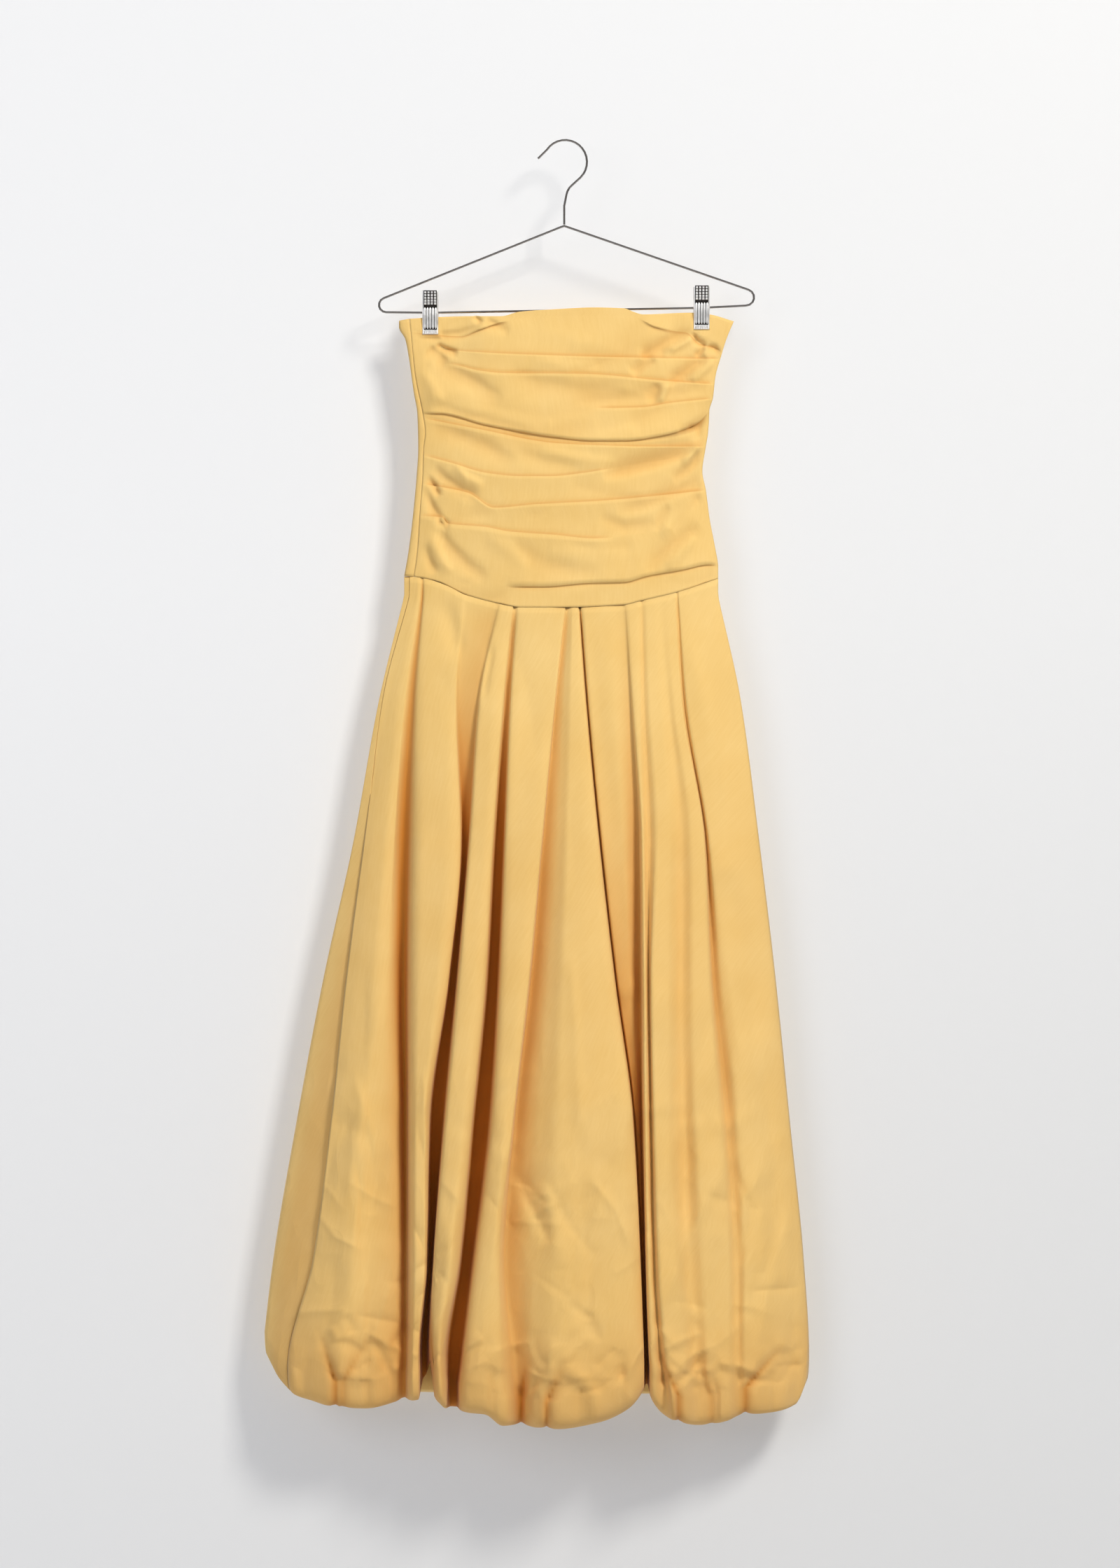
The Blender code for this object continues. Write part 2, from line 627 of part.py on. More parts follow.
def right_edge_column():
    """Return the back's first column, just behind the front's right edge."""
    edge = FRONT_FOLDS[-1]
    points = []
    for z in skirt_heights(edge.hem_z, WAIST_SEAM[-1][1]):
        y = mix(EDGE_SET, EDGE_CLOSED, ease((WAIST - z) / EDGE_CLOSING))
        points.append((line_x(edge, z) - SEAM_GAP, y, z))
    x, y, _ = points[-1]
    points += turn_under(x, y, edge.hem_z, x - SIDE_DRAW, y + 1.0)
    return [in_space(*point) for point in points]


def wrap_columns():
    """Return the back's last columns: round the left edge and forward to the side seam."""
    seam = FRONT_FOLDS[0]
    columns = []
    for wrap in WRAP_LINES:
        points = []
        for z in skirt_heights(wrap.hem_z, BACK_WAIST[0][1] - SEAM_GAP):
            left, _ = cloth_edges(min(z, WAIST))
            seam_x = line_x(seam, z)
            seam_y = WRAP_SET - front_swell(seam_x, z) * (1 - set_back_share(seam, z))
            x = mix(left, seam_x - 2 * WRAP_SET, wrap.forward)
            points.append((x, mix(WRAP_SET, seam_y, wrap.forward**WRAP_POWER), z))
        x, y, _ = points[-1]
        inner_stop = drawn_in(seam.hem_x, LEVELS[-1]) - WRAP_SET
        inner_x = mix(SKIRT_LEFT[-1] + WRAP_DRAW, inner_stop, wrap.forward)
        points += turn_under((x + wrap.hem_x) / 2, y, wrap.hem_z, inner_x, wrap.inner_y)
        columns.append([in_space(*point) for point in points])
    return columns


def make_skirt_back(material, parent):
    """Make the skirt's back, which wraps round the left edge."""
    columns = [right_edge_column()]
    columns += [back_column(share, depth) for share, depth in back_stations()]
    columns += wrap_columns()
    return add_sheet("skirt_back", list(zip(*columns)), material, parent)


def make_hem_lining(material, parent):
    """Make the band of lining that the hem is turned up against."""
    front = [mix(LINING_LEFT, LINING_RIGHT, i / LINING_STEPS) for i in range(LINING_STEPS + 1)]
    back = front[-2:0:-1]
    rows = []
    for share in (0.0, 0.5, 1.0):
        row = []
        for x in front:
            z = mix(LINING_TOP, through(LINING_HEM, x), share)
            y = -INNER_SHARE * front_swell(x, LEVELS[-1]) + LINING_SET
            row.append(in_space(x, y, z))
        for x in back:
            z = mix(LINING_TOP, through(LINING_HEM, x), share)
            row.append(in_space(x, BACK_INNER - LINING_SET, z))
        rows.append(row)
    return add_sheet("hem_lining", rows, material, parent, LINING_CLOTH, tube=True)


def bend(turn):
    """Return the points along one bend of the wire."""
    points = []
    for step in range(turn.steps + 1):
        angle = math.radians(mix(turn.start, turn.stop, step / turn.steps))
        points.append((turn.x + turn.radius * math.cos(angle),
                       turn.z + turn.radius * math.sin(angle)))
    return points


def add_wire(name, route, closed, material, parent):
    """Make round wire along a route in the hanger's plane, from rings of WIRE_SIDES points."""
    count = len(route)
    work = bmesh.new()
    rings = []
    for i, (x, z) in enumerate(route):
        here = Vector((x, 0.0, z))
        before = Vector((route[i - 1][0], 0.0, route[i - 1][1])) if i or closed else None
        after_at = route[(i + 1) % count]
        after = Vector((after_at[0], 0.0, after_at[1])) if i < count - 1 or closed else None
        into = (here - before).normalized() if before else (after - here).normalized()
        out = (after - here).normalized() if after else into
        along = (into + out).normalized()
        side = Vector((-along.z, 0.0, along.x)) / max(along.dot(into), 0.6)
        ring = []
        for k in range(WIRE_SIDES):
            angle = 2 * math.pi * k / WIRE_SIDES
            offset = side * math.cos(angle) + Vector((0.0, math.sin(angle), 0.0))
            ring.append(work.verts.new((here + offset * WIRE / 2) * MM))
        rings.append(ring)
    pairs = list(zip(rings, rings[1:])) + ([(rings[-1], rings[0])] if closed else [])
    for ring, following in pairs:
        for k in range(WIRE_SIDES):
            n = (k + 1) % WIRE_SIDES
            work.faces.new((ring[k], ring[n], following[n], following[k]))
    if not closed:
        work.faces.new(rings[0])
        work.faces.new(rings[-1])
    bmesh.ops.recalc_face_normals(work, faces=work.faces)
    mesh = bpy.data.meshes.new(name)
    work.to_mesh(mesh)
    work.free()
    mesh.shade_smooth()
    return add_object(name, mesh, material, parent)


def make_hanger(material, parent):
    """Make the hook with its stem, and the closed frame of shoulders and bar."""
    stem_end = NECK_HEIGHT + WIRE / 2 + SEAM_GAP
    hook = [HOOK_TIP] + bend(HOOK_BEND) + bend(STEM_BEND) + [(0.0, STEM_TOP), (0.0, stem_end)]
    add_wire("hanger_hook", hook, False, material, parent)

    peak_side = NECK_HEIGHT - WIRE / 2
    frame = [(0.0, NECK_HEIGHT), (-PEAK_HALF_WIDTH, peak_side)] + bend(LEFT_BEND)
    frame += [(clip.x, clip.bar) for clip in CLIPS]
    frame += bend(RIGHT_BEND) + [(PEAK_HALF_WIDTH, peak_side)]
    add_wire("hanger_frame", frame, True, material, parent)


def jaw_profile(side):
    """Return one jaw's outline seen from the side, as (y, z) from the bar; side is -1 or 1."""
    outer = [(y + CLIP_PLATE, z) for y, z in reversed(JAW_FACE)]
    return [(side * y, z) for y, z in list(JAW_FACE) + outer]


def make_jaw(clip, side, material, parent):
    """Make one jaw: a bent plate with a cheek at each side that holds the pin."""
    work = bmesh.new()
    half = CLIP_WIDTH / 2
    profile = jaw_profile(side)
    plate = [work.verts.new((-half, y, z)) for y, z in profile]
    face = work.faces.new(plate)
    moved = bmesh.ops.extrude_face_region(work, geom=[face])["geom"]
    bmesh.ops.translate(work, vec=(CLIP_WIDTH, 0, 0),
                        verts=[item for item in moved if isinstance(item, bmesh.types.BMVert)])
    bmesh.ops.recalc_face_normals(work, faces=work.faces)
    mesh = bpy.data.meshes.new("jaw")
    work.to_mesh(mesh)
    work.free()
    mesh.transform(Matrix.Scale(MM, 4))
    where = "front" if side < 0 else "back"
    piece = add_object(f"clip_{clip.name}_{where}", mesh, material, parent)
    piece.location = Vector((clip.x, 0.0, clip.bar)) * MM
    for cheek_side in (-1, 1):
        middle = (cheek_side * (half - CHEEK_SIZE[0] / 2), side * CHEEK_SET, CHEEK_RISE)
        cheek = box(f"cheek_{clip.name}_{where}_{cheek_side}", middle, CHEEK_SIZE)
        cheek.parent = piece
        cheek.hide_render = True
        cheek.display_type = "WIRE"
        join = piece.modifiers.new("cheek", "BOOLEAN")
        join.operation = "UNION"
        join.object = cheek
    return piece


def box(name, centre, size):
    """Make a plain box as a helper; sizes are in millimetres."""
    work = bmesh.new()
    bmesh.ops.create_cube(work, size=1.0)
    bmesh.ops.scale(work, vec=Vector(size) * MM, verts=work.verts)
    bmesh.ops.translate(work, vec=Vector(centre) * MM, verts=work.verts)
    mesh = bpy.data.meshes.new(name)
    work.to_mesh(mesh)
    work.free()
    helper = bpy.data.objects.new(name, mesh)
    bpy.context.scene.collection.objects.link(helper)
    return helper


def make_clip(clip, material, parent):
    """Make a clip: two jaws, and the pin that rides on the bar between them."""
    for side in (-1, 1):
        make_jaw(clip, side, material, parent)
    work = bmesh.new()
    length = CLIP_WIDTH - 2 * CHEEK_SIZE[0] - 2 * SEAM_GAP
    radius = CLIP_PIN / 2 * MM
    bmesh.ops.create_cone(work, cap_ends=True, segments=PIN_SIDES, radius1=radius,
                          radius2=radius, depth=length * MM)
    mesh = bpy.data.meshes.new("pin")
    work.to_mesh(mesh)
    work.free()
    pin = add_object(f"clip_{clip.name}_pin", mesh, material, parent)
    pin.rotation_euler = (0.0, math.pi / 2, 0.0)
    rise = (WIRE + CLIP_PIN) / 2 + PIN_LIFT
    pin.location = Vector((clip.x, 0.0, clip.bar + rise)) * MM


def main():
    """Build the dress on its hanger."""
    for item in list(bpy.data.objects):
        bpy.data.objects.remove(item)
    poplin = make_material("mustard_cotton_poplin", (0.83, 0.53, 0.17), 0.85)
    lining = make_material("beige_lining", (0.72, 0.55, 0.47), 0.9)
    chrome = make_material("chromed_steel", (0.75, 0.75, 0.77), 0.15, 1.0)
    root = bpy.data.objects.new("dress_on_hanger", None)
    bpy.context.scene.collection.objects.link(root)
    make_bodice_front(poplin, root)
    make_bodice_back(poplin, root)
    make_skirt_front(poplin, root)
    make_skirt_back(poplin, root)
    make_hem_lining(lining, root)
    make_hanger(chrome, root)
    for clip in CLIPS:
        make_clip(clip, chrome, root)


main()
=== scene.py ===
"""Looks for a strapless mustard maxi dress that hangs from a wire clip hanger.

The cloth pieces are fine shells on the form of the model's solids. Their tables are in
millimetres, as widths and heights that line up on the hanger's upright plane when seen
square-on from VIEW_DISTANCE. to_space() draws a point that lies nearer than that plane in
towards the line of sight. +X is the viewer's right, -Y is towards the viewer, +Z is up.
"""

import logging
import math
from dataclasses import dataclass
from enum import Enum

import bmesh
import bpy
import numpy as np
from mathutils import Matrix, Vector

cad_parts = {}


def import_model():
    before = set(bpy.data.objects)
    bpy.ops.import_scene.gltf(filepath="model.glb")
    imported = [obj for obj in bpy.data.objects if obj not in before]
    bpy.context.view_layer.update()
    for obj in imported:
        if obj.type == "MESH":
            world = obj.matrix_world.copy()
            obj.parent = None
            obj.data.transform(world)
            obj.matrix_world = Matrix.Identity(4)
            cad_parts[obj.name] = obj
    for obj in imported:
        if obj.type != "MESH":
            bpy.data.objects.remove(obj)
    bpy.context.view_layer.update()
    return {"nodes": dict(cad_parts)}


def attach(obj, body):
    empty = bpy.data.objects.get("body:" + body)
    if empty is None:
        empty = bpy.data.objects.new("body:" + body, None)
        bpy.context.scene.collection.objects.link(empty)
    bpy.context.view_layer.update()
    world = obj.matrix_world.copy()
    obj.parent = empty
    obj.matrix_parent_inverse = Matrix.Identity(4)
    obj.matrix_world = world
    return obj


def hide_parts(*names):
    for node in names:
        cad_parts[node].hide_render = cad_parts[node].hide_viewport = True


LOG = logging.getLogger("dress")
MM = 0.001
BODY = "root"

# Where the table sizes line up from
VIEW_DISTANCE = 5000.0
VIEW_HEIGHT = -735.0

# Thickness of the cloth and of its lining, and the gaps at the seams
SHELL = 0.6
LINING_SHELL = 0.4
SEAM_GAP = 0.12
GRIP_CLEAR = 0.3
WAIST_GAP = 0.25

# Heights that split the cloth
WAIST = -520.0
LEVELS = (WAIST, -640.0, -800.0, -960.0, -1120.0, -1280.0, -1390.0)
MIDDLE = -850.0

# How far the front swells out of the hanger's plane, and the back behind it
SWELL_HEIGHTS = (-200.0, -300.0, -420.0) + LEVELS
FRONT_SWELL = (8.0, 13.0, 15.0, 14.0, 24.0, 44.0, 64.0, 82.0, 96.0, 102.0)
BACK_SWELL = (4.0, 7.0, 9.0, 9.0, 13.0, 20.0, 27.0, 34.0, 40.0, 42.0)
FRONT_ROUNDNESS = 2.4
BACK_ROUNDNESS = 4.0
SIDE_POWER = 0.75

# Outlines: height, then x
BODICE_LEFT = ((-205, -189), (-213, -189), (-226, -182), (-246, -178), (-288, -172), (-312, -168),
               (-351, -167), (-384, -169), (-418, -172), (-468, -178), (-497, -183))
BODICE_SEAM = ((-203, -177), (-223, -175), (-271, -170), (-310, -162), (-334, -159), (-351, -161),
               (-384, -162), (-423, -165), (-468, -168), (-498, -172))
BODICE_RIGHT = ((-206, 194), (-225, 186), (-244, 180), (-269, 173), (-294, 170), (-308, 166),
                (-330, 165), (-349, 162), (-378, 158), (-399, 162), (-430, 166), (-467, 173),
                (-486, 176), (-500, 176))
SKIRT_LEFT = (-183, -212, -241, -276, -306, -333, -346)
SKIRT_RIGHT = (176, 202, 223, 242, 258, 274, 280)

# Across: x, then height
BODICE_TOP = ((-177, -203), (-144, -201), (-106, -200), (-72, -200), (-51, -195), (-9, -192),
              (34, -190), (68, -191), (79, -195), (90, -198), (146, -196), (166, -198), (194, -206))
WAIST_SEAM = ((-183, -497), (-172, -498), (-146, -503), (-112, -519), (-72, -529), (-48, -533),
              (2, -533), (69, -530), (86, -526), (128, -516), (176, -500))
BACK_TOP = ((-189, -213), (-182, -205), (-170, -204), (0, -205), (194, -207))
BACK_WAIST = ((-183, -497.6), (0, -506), (176, -500))
BACK_HEM = ((-344, -1391), (-331, -1397), (-318, -1408), (-290, -1426), (0, -1432), (225, -1432),
            (258, -1428), (270, -1418))
LINING_HEM = ((-300, -1408), (-240, -1412), (-190, -1406), (-150, -1390), (-110, -1406),
              (-40, -1416), (50, -1414), (97, -1396), (140, -1410), (180, -1414), (240, -1406))

# A skirt's rows run level down to SPLIT; the waist seam's curve fades out over SEAM_FADE
SPLIT = -1190.0
SEAM_FADE = 190.0

# The hem's roll: share of the way in to the lining, then rise above the lowest point
HEM_ROLL = ((0.0, 30.0), (0.012, 20.0), (0.035, 12.0), (0.08, 5.5), (0.16, 1.6), (0.30, 0.0),
            (0.55, 0.3), (0.80, 1.2), (1.0, 3.0))
# What is turned up: its rows as shares of its height, and how far it goes past the lining's hem
TURN_ROWS = (0.35, 0.7, 1.0)
TURN_UP = 24.0
LEAST_TURN = 8.0
# It stands at this share of the front's swell, this far back, and is drawn in at the sides
INNER_SHARE = 0.15
BACK_INNER = 9.5
SIDE_DRAW = 22.0
SIDE_DRAW_FROM = 0.72
# The back's cloth keeps at least this far behind the hanger's plane
BACK_CLEAR = 4.7

# A crease is worked out to this many times its fade
CREASE_REACH = 2.4

# How creased by handling the cloth is: a skirt's waist, and the bodice. Below MIDDLE a
# skirt's wear grows to 1 over WEAR_REACH.
WAIST_WEAR = 0.25
BODICE_WEAR = 0.4
WEAR_REACH = 480.0

# Clips and the flat cloth under them
CLIP_GRIP = 3.1
PINCH_FLAT = 28.0
PINCH_FADE = 36.0
PINCH_BELOW_BAR = 33.0
PINCH_DROP = 45.0


def hermite(start: np.ndarray, stop: np.ndarray, rise_in: np.ndarray, rise_out: np.ndarray,
            t: np.ndarray) -> np.ndarray:
    """Read a cubic between two values.

    Args:
        start: Value where t is 0.
        stop: Value where t is 1.
        rise_in: Slope at the start, per unit of t.
        rise_out: Slope at the stop, per unit of t.
        t: Where to read, from 0 to 1.

    Returns:
        The value at t.
    """
    return ((2 * t**3 - 3 * t**2 + 1) * start + (t**3 - 2 * t**2 + t) * rise_in
            + (3 * t**2 - 2 * t**3) * stop + (t**3 - t**2) * rise_out)


def even_tangents(slopes: np.ndarray) -> np.ndarray:
    """Return tangents at the knots that keep a line from overshooting them.

    Args:
        slopes: Slope of each span, along the last axis.

    Returns:
        One tangent for each knot, along the last axis.
    """
    before, after = slopes[..., :-1], slopes[..., 1:]
    total = before + after
    total = np.where(np.abs(total) < 1e-12, 1.0, total)
    inner = np.where(before * after > 0, 2 * before * after / total, 0.0)
    return np.concatenate((slopes[..., :1], inner, slopes[..., -1:]), axis=-1)


class SmoothLine:
    """A smooth line through (place, value) points that doesn't overshoot them."""

    def __init__(self, points: tuple) -> None:
        """Keep the knots and their tangents.

        Args:
            points: Pairs of place and value, in any order.
        """
        ordered = sorted(points)
        self.places = np.array([place for place, _ in ordered], dtype=float)
        self.values = np.array([value for _, value in ordered], dtype=float)
        self.spans = np.diff(self.places)
        self.tangents = even_tangents(np.diff(self.values) / self.spans)

    def __call__(self, at: np.ndarray) -> np.ndarray:
        """Read the line.

        Args:
            at: Places to read it at.

        Returns:
            The values there; past either end, the end's value.
        """
        at = np.clip(np.asarray(at, dtype=float), self.places[0], self.places[-1])
        last = len(self.spans) - 1
        index = np.clip(np.searchsorted(self.places, at, side="left") - 1, 0, last)
        span = self.spans[index]
        t = (at - self.places[index]) / span
        return hermite(self.values[index], self.values[index + 1], self.tangents[index] * span,
                       self.tangents[index + 1] * span, t)


def ease(t: np.ndarray) -> np.ndarray:
    """Go from 0 to 1 with level ends."""
    t = np.clip(t, 0.0, 1.0)
    return t * t * (3 - 2 * t)


def mix(a: np.ndarray, b: np.ndarray, share: np.ndarray) -> np.ndarray:
    """Go from a to b."""
    return a + (b - a) * share


def read_across(places: np.ndarray, values: np.ndarray, index: np.ndarray,
                share: np.ndarray) -> np.ndarray:
    """Read smooth lines across rows of knots.

    Args:
        places: Place of each knot, [rows, knots], rising or falling along a row.
        values: Value at each knot, [rows, knots].
        index: Knot to the start side of each column, [columns].
        share: Share of the way from there to the next knot, [columns].

    Returns:
        The values, [rows, columns].
    """
    spans = np.diff(places, axis=1)
    spans = np.where(np.abs(spans) < 1e-6, 1e-6, spans)
    tangents = even_tangents(np.diff(values, axis=1) / spans)
    span = spans[:, index]
    return hermite(values[:, index], values[:, index + 1], tangents[:, index] * span,
                   tangents[:, index + 1] * span, share[None, :])


def running(steps: np.ndarray) -> np.ndarray:
    """Add up steps along each row: [rows, steps] gives [rows, steps + 1], from 0."""
    return np.concatenate((np.zeros((len(steps), 1)), np.cumsum(steps, axis=1)), axis=1)


def columns_between(widths: np.ndarray, spacing: float, least: int, most: int) -> tuple:
    """Share out columns between knots.

    Args:
        widths: Greatest distance between each knot and the next.
        spacing: Wanted distance between columns.
        least: Fewest columns in a span.
        most: Most columns in a span.

    Returns:
        The index of each column's knot, and its share of the way to the next one.
    """
    index, share = [], []
    for knot, width in enumerate(widths):
        count = int(np.clip(round(width / spacing), least, most))
        index += [knot] * count
        share += [step / count for step in range(count)]
    index.append(len(widths) - 1)
    share.append(1.0)
    return np.array(index), np.array(share)


def to_space(x: np.ndarray, y: np.ndarray, z: np.ndarray) -> np.ndarray:
    """Return the points at depth y that line up with x and z on the hanger's plane."""
    nearer = 1 + y / VIEW_DISTANCE
    return np.stack((x * nearer, y + 0 * x, VIEW_HEIGHT + (z - VIEW_HEIGHT) * nearer), axis=-1)


class Outline:
    """The dress's outline and how far its cloth swells out of the hanger's plane."""

    left = SmoothLine(tuple(zip(LEVELS, SKIRT_LEFT)))
    right = SmoothLine(tuple(zip(LEVELS, SKIRT_RIGHT)))
    bodice_left = SmoothLine(BODICE_LEFT)
    bodice_right = SmoothLine(BODICE_RIGHT)
    front_table = SmoothLine(tuple(zip(SWELL_HEIGHTS, FRONT_SWELL)))
    back_table = SmoothLine(tuple(zip(SWELL_HEIGHTS, BACK_SWELL)))

    @classmethod
    def edges(cls, z: np.ndarray) -> tuple:
        """Read the left and right outlines.

        Args:
            z: Heights to read them at.

        Returns:
            The x of the left outline and of the right one.
        """
        above = np.asarray(z) > WAIST_SEAM[0][1]
        return (np.where(above, cls.bodice_left(z), cls.left(z)),
                np.where(above, cls.bodice_right(z), cls.right(z)))

    @classmethod
    def share(cls, x: np.ndarray, z: np.ndarray) -> np.ndarray:
        """Return where x lies between the outlines at height z, from -1 to 1."""
        left, right = cls.edges(z)
        return (2 * x - left - right) / (right - left)

    @classmethod
    def front(cls, x: np.ndarray, z: np.ndarray) -> np.ndarray:
        """Return how far the front stands off at its widest."""
        share = np.minimum(np.abs(cls.share(x, z)), 1.0)
        return cls.front_table(z) * (1 - share**FRONT_ROUNDNESS)**SIDE_POWER

    @classmethod
    def back(cls, x: np.ndarray, z: np.ndarray) -> np.ndarray:
        """Return how far the back stands off at its widest."""
        share = np.minimum(np.abs(cls.share(x, z)), 1.0)
        return cls.back_table(z) * (1 - share**BACK_ROUNDNESS)**SIDE_POWER

    @classmethod
    def drawn_in(cls, x: np.ndarray, z: float) -> np.ndarray:
        """Draw what is turned under in from the sides.

        Args:
            x: Width of each point.
            z: Height of them all.

        Returns:
            The widths drawn in.
        """
        share = cls.share(x, z)
        near = ease((np.abs(share) - SIDE_DRAW_FROM) / (1 - SIDE_DRAW_FROM))
        return x - np.copysign(SIDE_DRAW * near, share)

    @staticmethod
    def pinched(depth: np.ndarray, x: np.ndarray, z: np.ndarray) -> np.ndarray:
        """Flatten the cloth where a clip grips it.

        Args:
            depth: How far the cloth stands off the plane.
            x: Width of each point.
            z: Height of each point.

        Returns:
            The depth with the clips closed on it.
        """
        for clip in CLIPS:
            near = 1 - ease((np.abs(x - clip.x) - PINCH_FLAT) / PINCH_FADE)
            near = near * (1 - ease((clip.bar - PINCH_BELOW_BAR - z) / PINCH_DROP))
            depth = mix(depth, CLIP_GRIP - GRIP_CLEAR, near)
        return depth


@dataclass(frozen=True)
class ClipPlace:
    """Where a clip sits on the bar: its name, its middle and the bar's height there."""

    name: str
    x: float
    bar: float


CLIPS = (ClipPlace("left", -153.0, -196.2), ClipPlace("right", 157.0, -190.6))


@dataclass(frozen=True)
class FoldLine:
    """One upright line of the skirt's front: a lip, a floor or a crown.

    across is its x at each of LEVELS; hem_x and hem_z are where it meets the hem.
    set_back is the share of the local swell that it lies back by, at the waist, MIDDLE and hem.
    """

    across: tuple
    hem_x: float
    hem_z: float
    set_back: tuple

    def run(self) -> SmoothLine:
        """Return its x as a line over height."""
        return SmoothLine(tuple(zip(LEVELS, self.across)) + ((self.hem_z, self.hem_x),))

    def backing(self) -> SmoothLine:
        """Return its set-back share as a line over height."""
        return SmoothLine(tuple(zip((WAIST, MIDDLE, LEVELS[-1]), self.set_back)))


# From the left: panels a to i, with pleats 1 to 8 between them
FRONT_FOLDS = (
    # Side seam
    FoldLine((-177, -208, -227, -247, -263, -286, -316), -318, -1429, (0.14, 0.2, 0.12)),
    # Panel a
    FoldLine((-175, -206, -229, -250, -267, -288, -313), -313, -1433, (0.2, 0.05, 0.0)),
    FoldLine((-171, -200, -219, -237, -253, -269, -291), -289, -1440, (0.1, 0.0, 0.0)),
    FoldLine((-168, -191, -206, -221, -234, -245, -261), -261, -1448, (0.0, 0.0, 0.0)),
    FoldLine((-166, -183, -195, -204, -214, -224, -226), -228, -1449, (0.1, 0.17, 0.2)),
    # Pleat 1
    FoldLine((-164, -180, -191, -194, -190, -189, -190), -198, -1441, (0.3, 0.42, 0.33)),
    FoldLine((-162, -174, -182, -184, -182, -182, -182), -185, -1436, (0.6, 0.74, 0.46)),
    FoldLine((-160, -168, -171, -174, -175, -175, -177), -179, -1439, (0.1, 0.1, 0.22)),
    # Panel b
    FoldLine((-155, -160, -162, -166, -169, -170, -173), -174, -1440, (0.0, 0.0, 0.1)),
    FoldLine((-133, -134, -137, -147, -160, -160, -167), -166, -1439, (0.0, 0.0, 0.12)),
    # Pleat 2
    FoldLine((-115, -124, -119, -133, -155, -157, -165.5), -163.5, -1434, (0.05, 0.15, 0.2)),
    FoldLine((-112, -122, -116, -130, -151, -154, -161.5), -158.5, -1416, (0.15, 0.7, 0.72)),
    FoldLine((-74, -99, -110, -124, -139, -151, -157.5), -154.5, -1410, (0.3, 0.6, 0.68)),
    # Panel c
    FoldLine((-72, -97, -108, -121, -136, -149, -153.5), -150.5, -1399, (0.1, 0.05, 0.1)),
    FoldLine((-69, -94, -105, -118, -133, -146, -149.5), -145.5, -1437, (0.0, 0.0, 0.04)),
    FoldLine((-64, -82, -93, -105, -118, -132, -144), -139, -1444, (0.0, 0.0, 0.0)),
    # Pleat 3
    FoldLine((-58, -70, -82, -91, -106, -121, -137), -132, -1449, (0.1, 0.1, 0.15)),
    FoldLine((-56, -67, -78, -86, -102, -116, -131), -129, -1447, (0.4, 0.72, 0.6)),
    FoldLine((-54, -63, -70, -77, -87, -106, -119), -127, -1449, (0.3, 0.68, 0.52)),
    FoldLine((-52, -61, -67, -73, -82, -101, -115), -124, -1452, (0.08, 0.1, 0.1)),
    # Panel d
    FoldLine((-45, -51, -58, -66, -74, -92, -107), -113, -1454, (0.0, 0.02, 0.02)),
    FoldLine((-13, -29, -41, -53, -67, -83, -93), -87, -1456, (0.0, 0.0, 0.0)),
    # Pleat 4
    FoldLine((2, -11, -26, -41, -59, -75, -75), -66, -1469, (0.05, 0.05, 0.05)),
    FoldLine((4, -9, -24, -38, -56, -67, -56), -50, -1468, (0.35, 0.44, 0.32)),
    FoldLine((7, 0, -7, -17, -27, -35, -33), -32, -1471, (0.15, 0.2, 0.1)),
    # Panel e
    FoldLine((10, 8, 5, 0, -5, -9, -9), -13, -1473, (0.0, 0.03, 0.0)),
    FoldLine((12, 16, 21, 26, 32, 37, 39), 40, -1465, (0.0, 0.0, 0.0)),
    FoldLine((13.5, 21, 32, 45, 61, 70, 74), 70, -1450, (0.02, 0.02, 0.03)),
    FoldLine((15, 24, 39, 57, 78, 87, 91), 92, -1427, (0.06, 0.1, 0.12)),
    # Pleat 5
    FoldLine((17, 26, 41, 59, 80, 88.5, 92.5), 93.5, -1422, (0.6, 0.55, 0.6)),
    # Panel f
    FoldLine((19, 28, 43, 61, 82, 89.5, 93.5), 95, -1421, (0.08, 0.3, 0.62)),
    FoldLine((45, 54, 66, 74, 85, 90.7, 94.5), 96.5, -1421, (0.04, 0.3, 0.62)),
    # Pleat 6
    FoldLine((68, 76, 85, 87, 88.5, 91.9, 95.7), 98, -1423, (0.2, 0.5, 0.55)),
    # Panel g
    FoldLine((70, 78, 88, 89.5, 91, 93.4, 97), 101, -1434, (0.05, 0.1, 0.12)),
    FoldLine((78, 82, 90, 92, 93.5, 96.2, 101), 108, -1445, (0.0, 0.05, 0.04)),
    # Pleat 7
    FoldLine((86, 87, 92, 94, 96, 99.5, 106), 115, -1453, (0.05, 0.1, 0.06)),
    FoldLine((88, 90, 96, 96.5, 99, 103, 110), 123, -1458, (0.25, 0.26, 0.16)),
    # Panel h
    FoldLine((93, 97, 106, 100, 103, 108, 117), 130, -1463, (0.04, 0.0, 0.0)),
    FoldLine((102, 109, 119, 117, 118, 125, 135), 142, -1467, (0.0, 0.02, 0.02)),
    FoldLine((110, 119, 134, 133, 137, 143, 151), 157, -1468, (0.06, 0.24, 0.17)),
    FoldLine((118, 126, 147, 149, 152, 162, 167), 171, -1467, (0.02, 0.02, 0.02)),
    # Pleat 8
    FoldLine((126, 134, 160, 166, 178, 187, 187), 187, -1463, (0.05, 0.06, 0.02)),
    FoldLine((129, 137, 162, 171, 187, 197, 198), 198, -1458, (0.35, 0.42, 0.16)),
    FoldLine((131, 140, 166, 181, 200, 208, 208), 208, -1456, (0.05, 0.08, 0.02)),
    # Panel i
    FoldLine((141, 157, 181, 200, 219, 229, 229), 223, -1455, (0.0, 0.0, 0.0)),
    FoldLine((158, 179, 202, 221, 239, 251, 253), 245, -1452, (0.0, 0.0, 0.0)),
    FoldLine((170, 194, 216, 234, 251, 267, 272), 262, -1445, (0.0, 0.0, 0.0)),
    # Right edge
    FoldLine(SKIRT_RIGHT, 271, -1420, (0.0, 0.0, 0.0)),
)


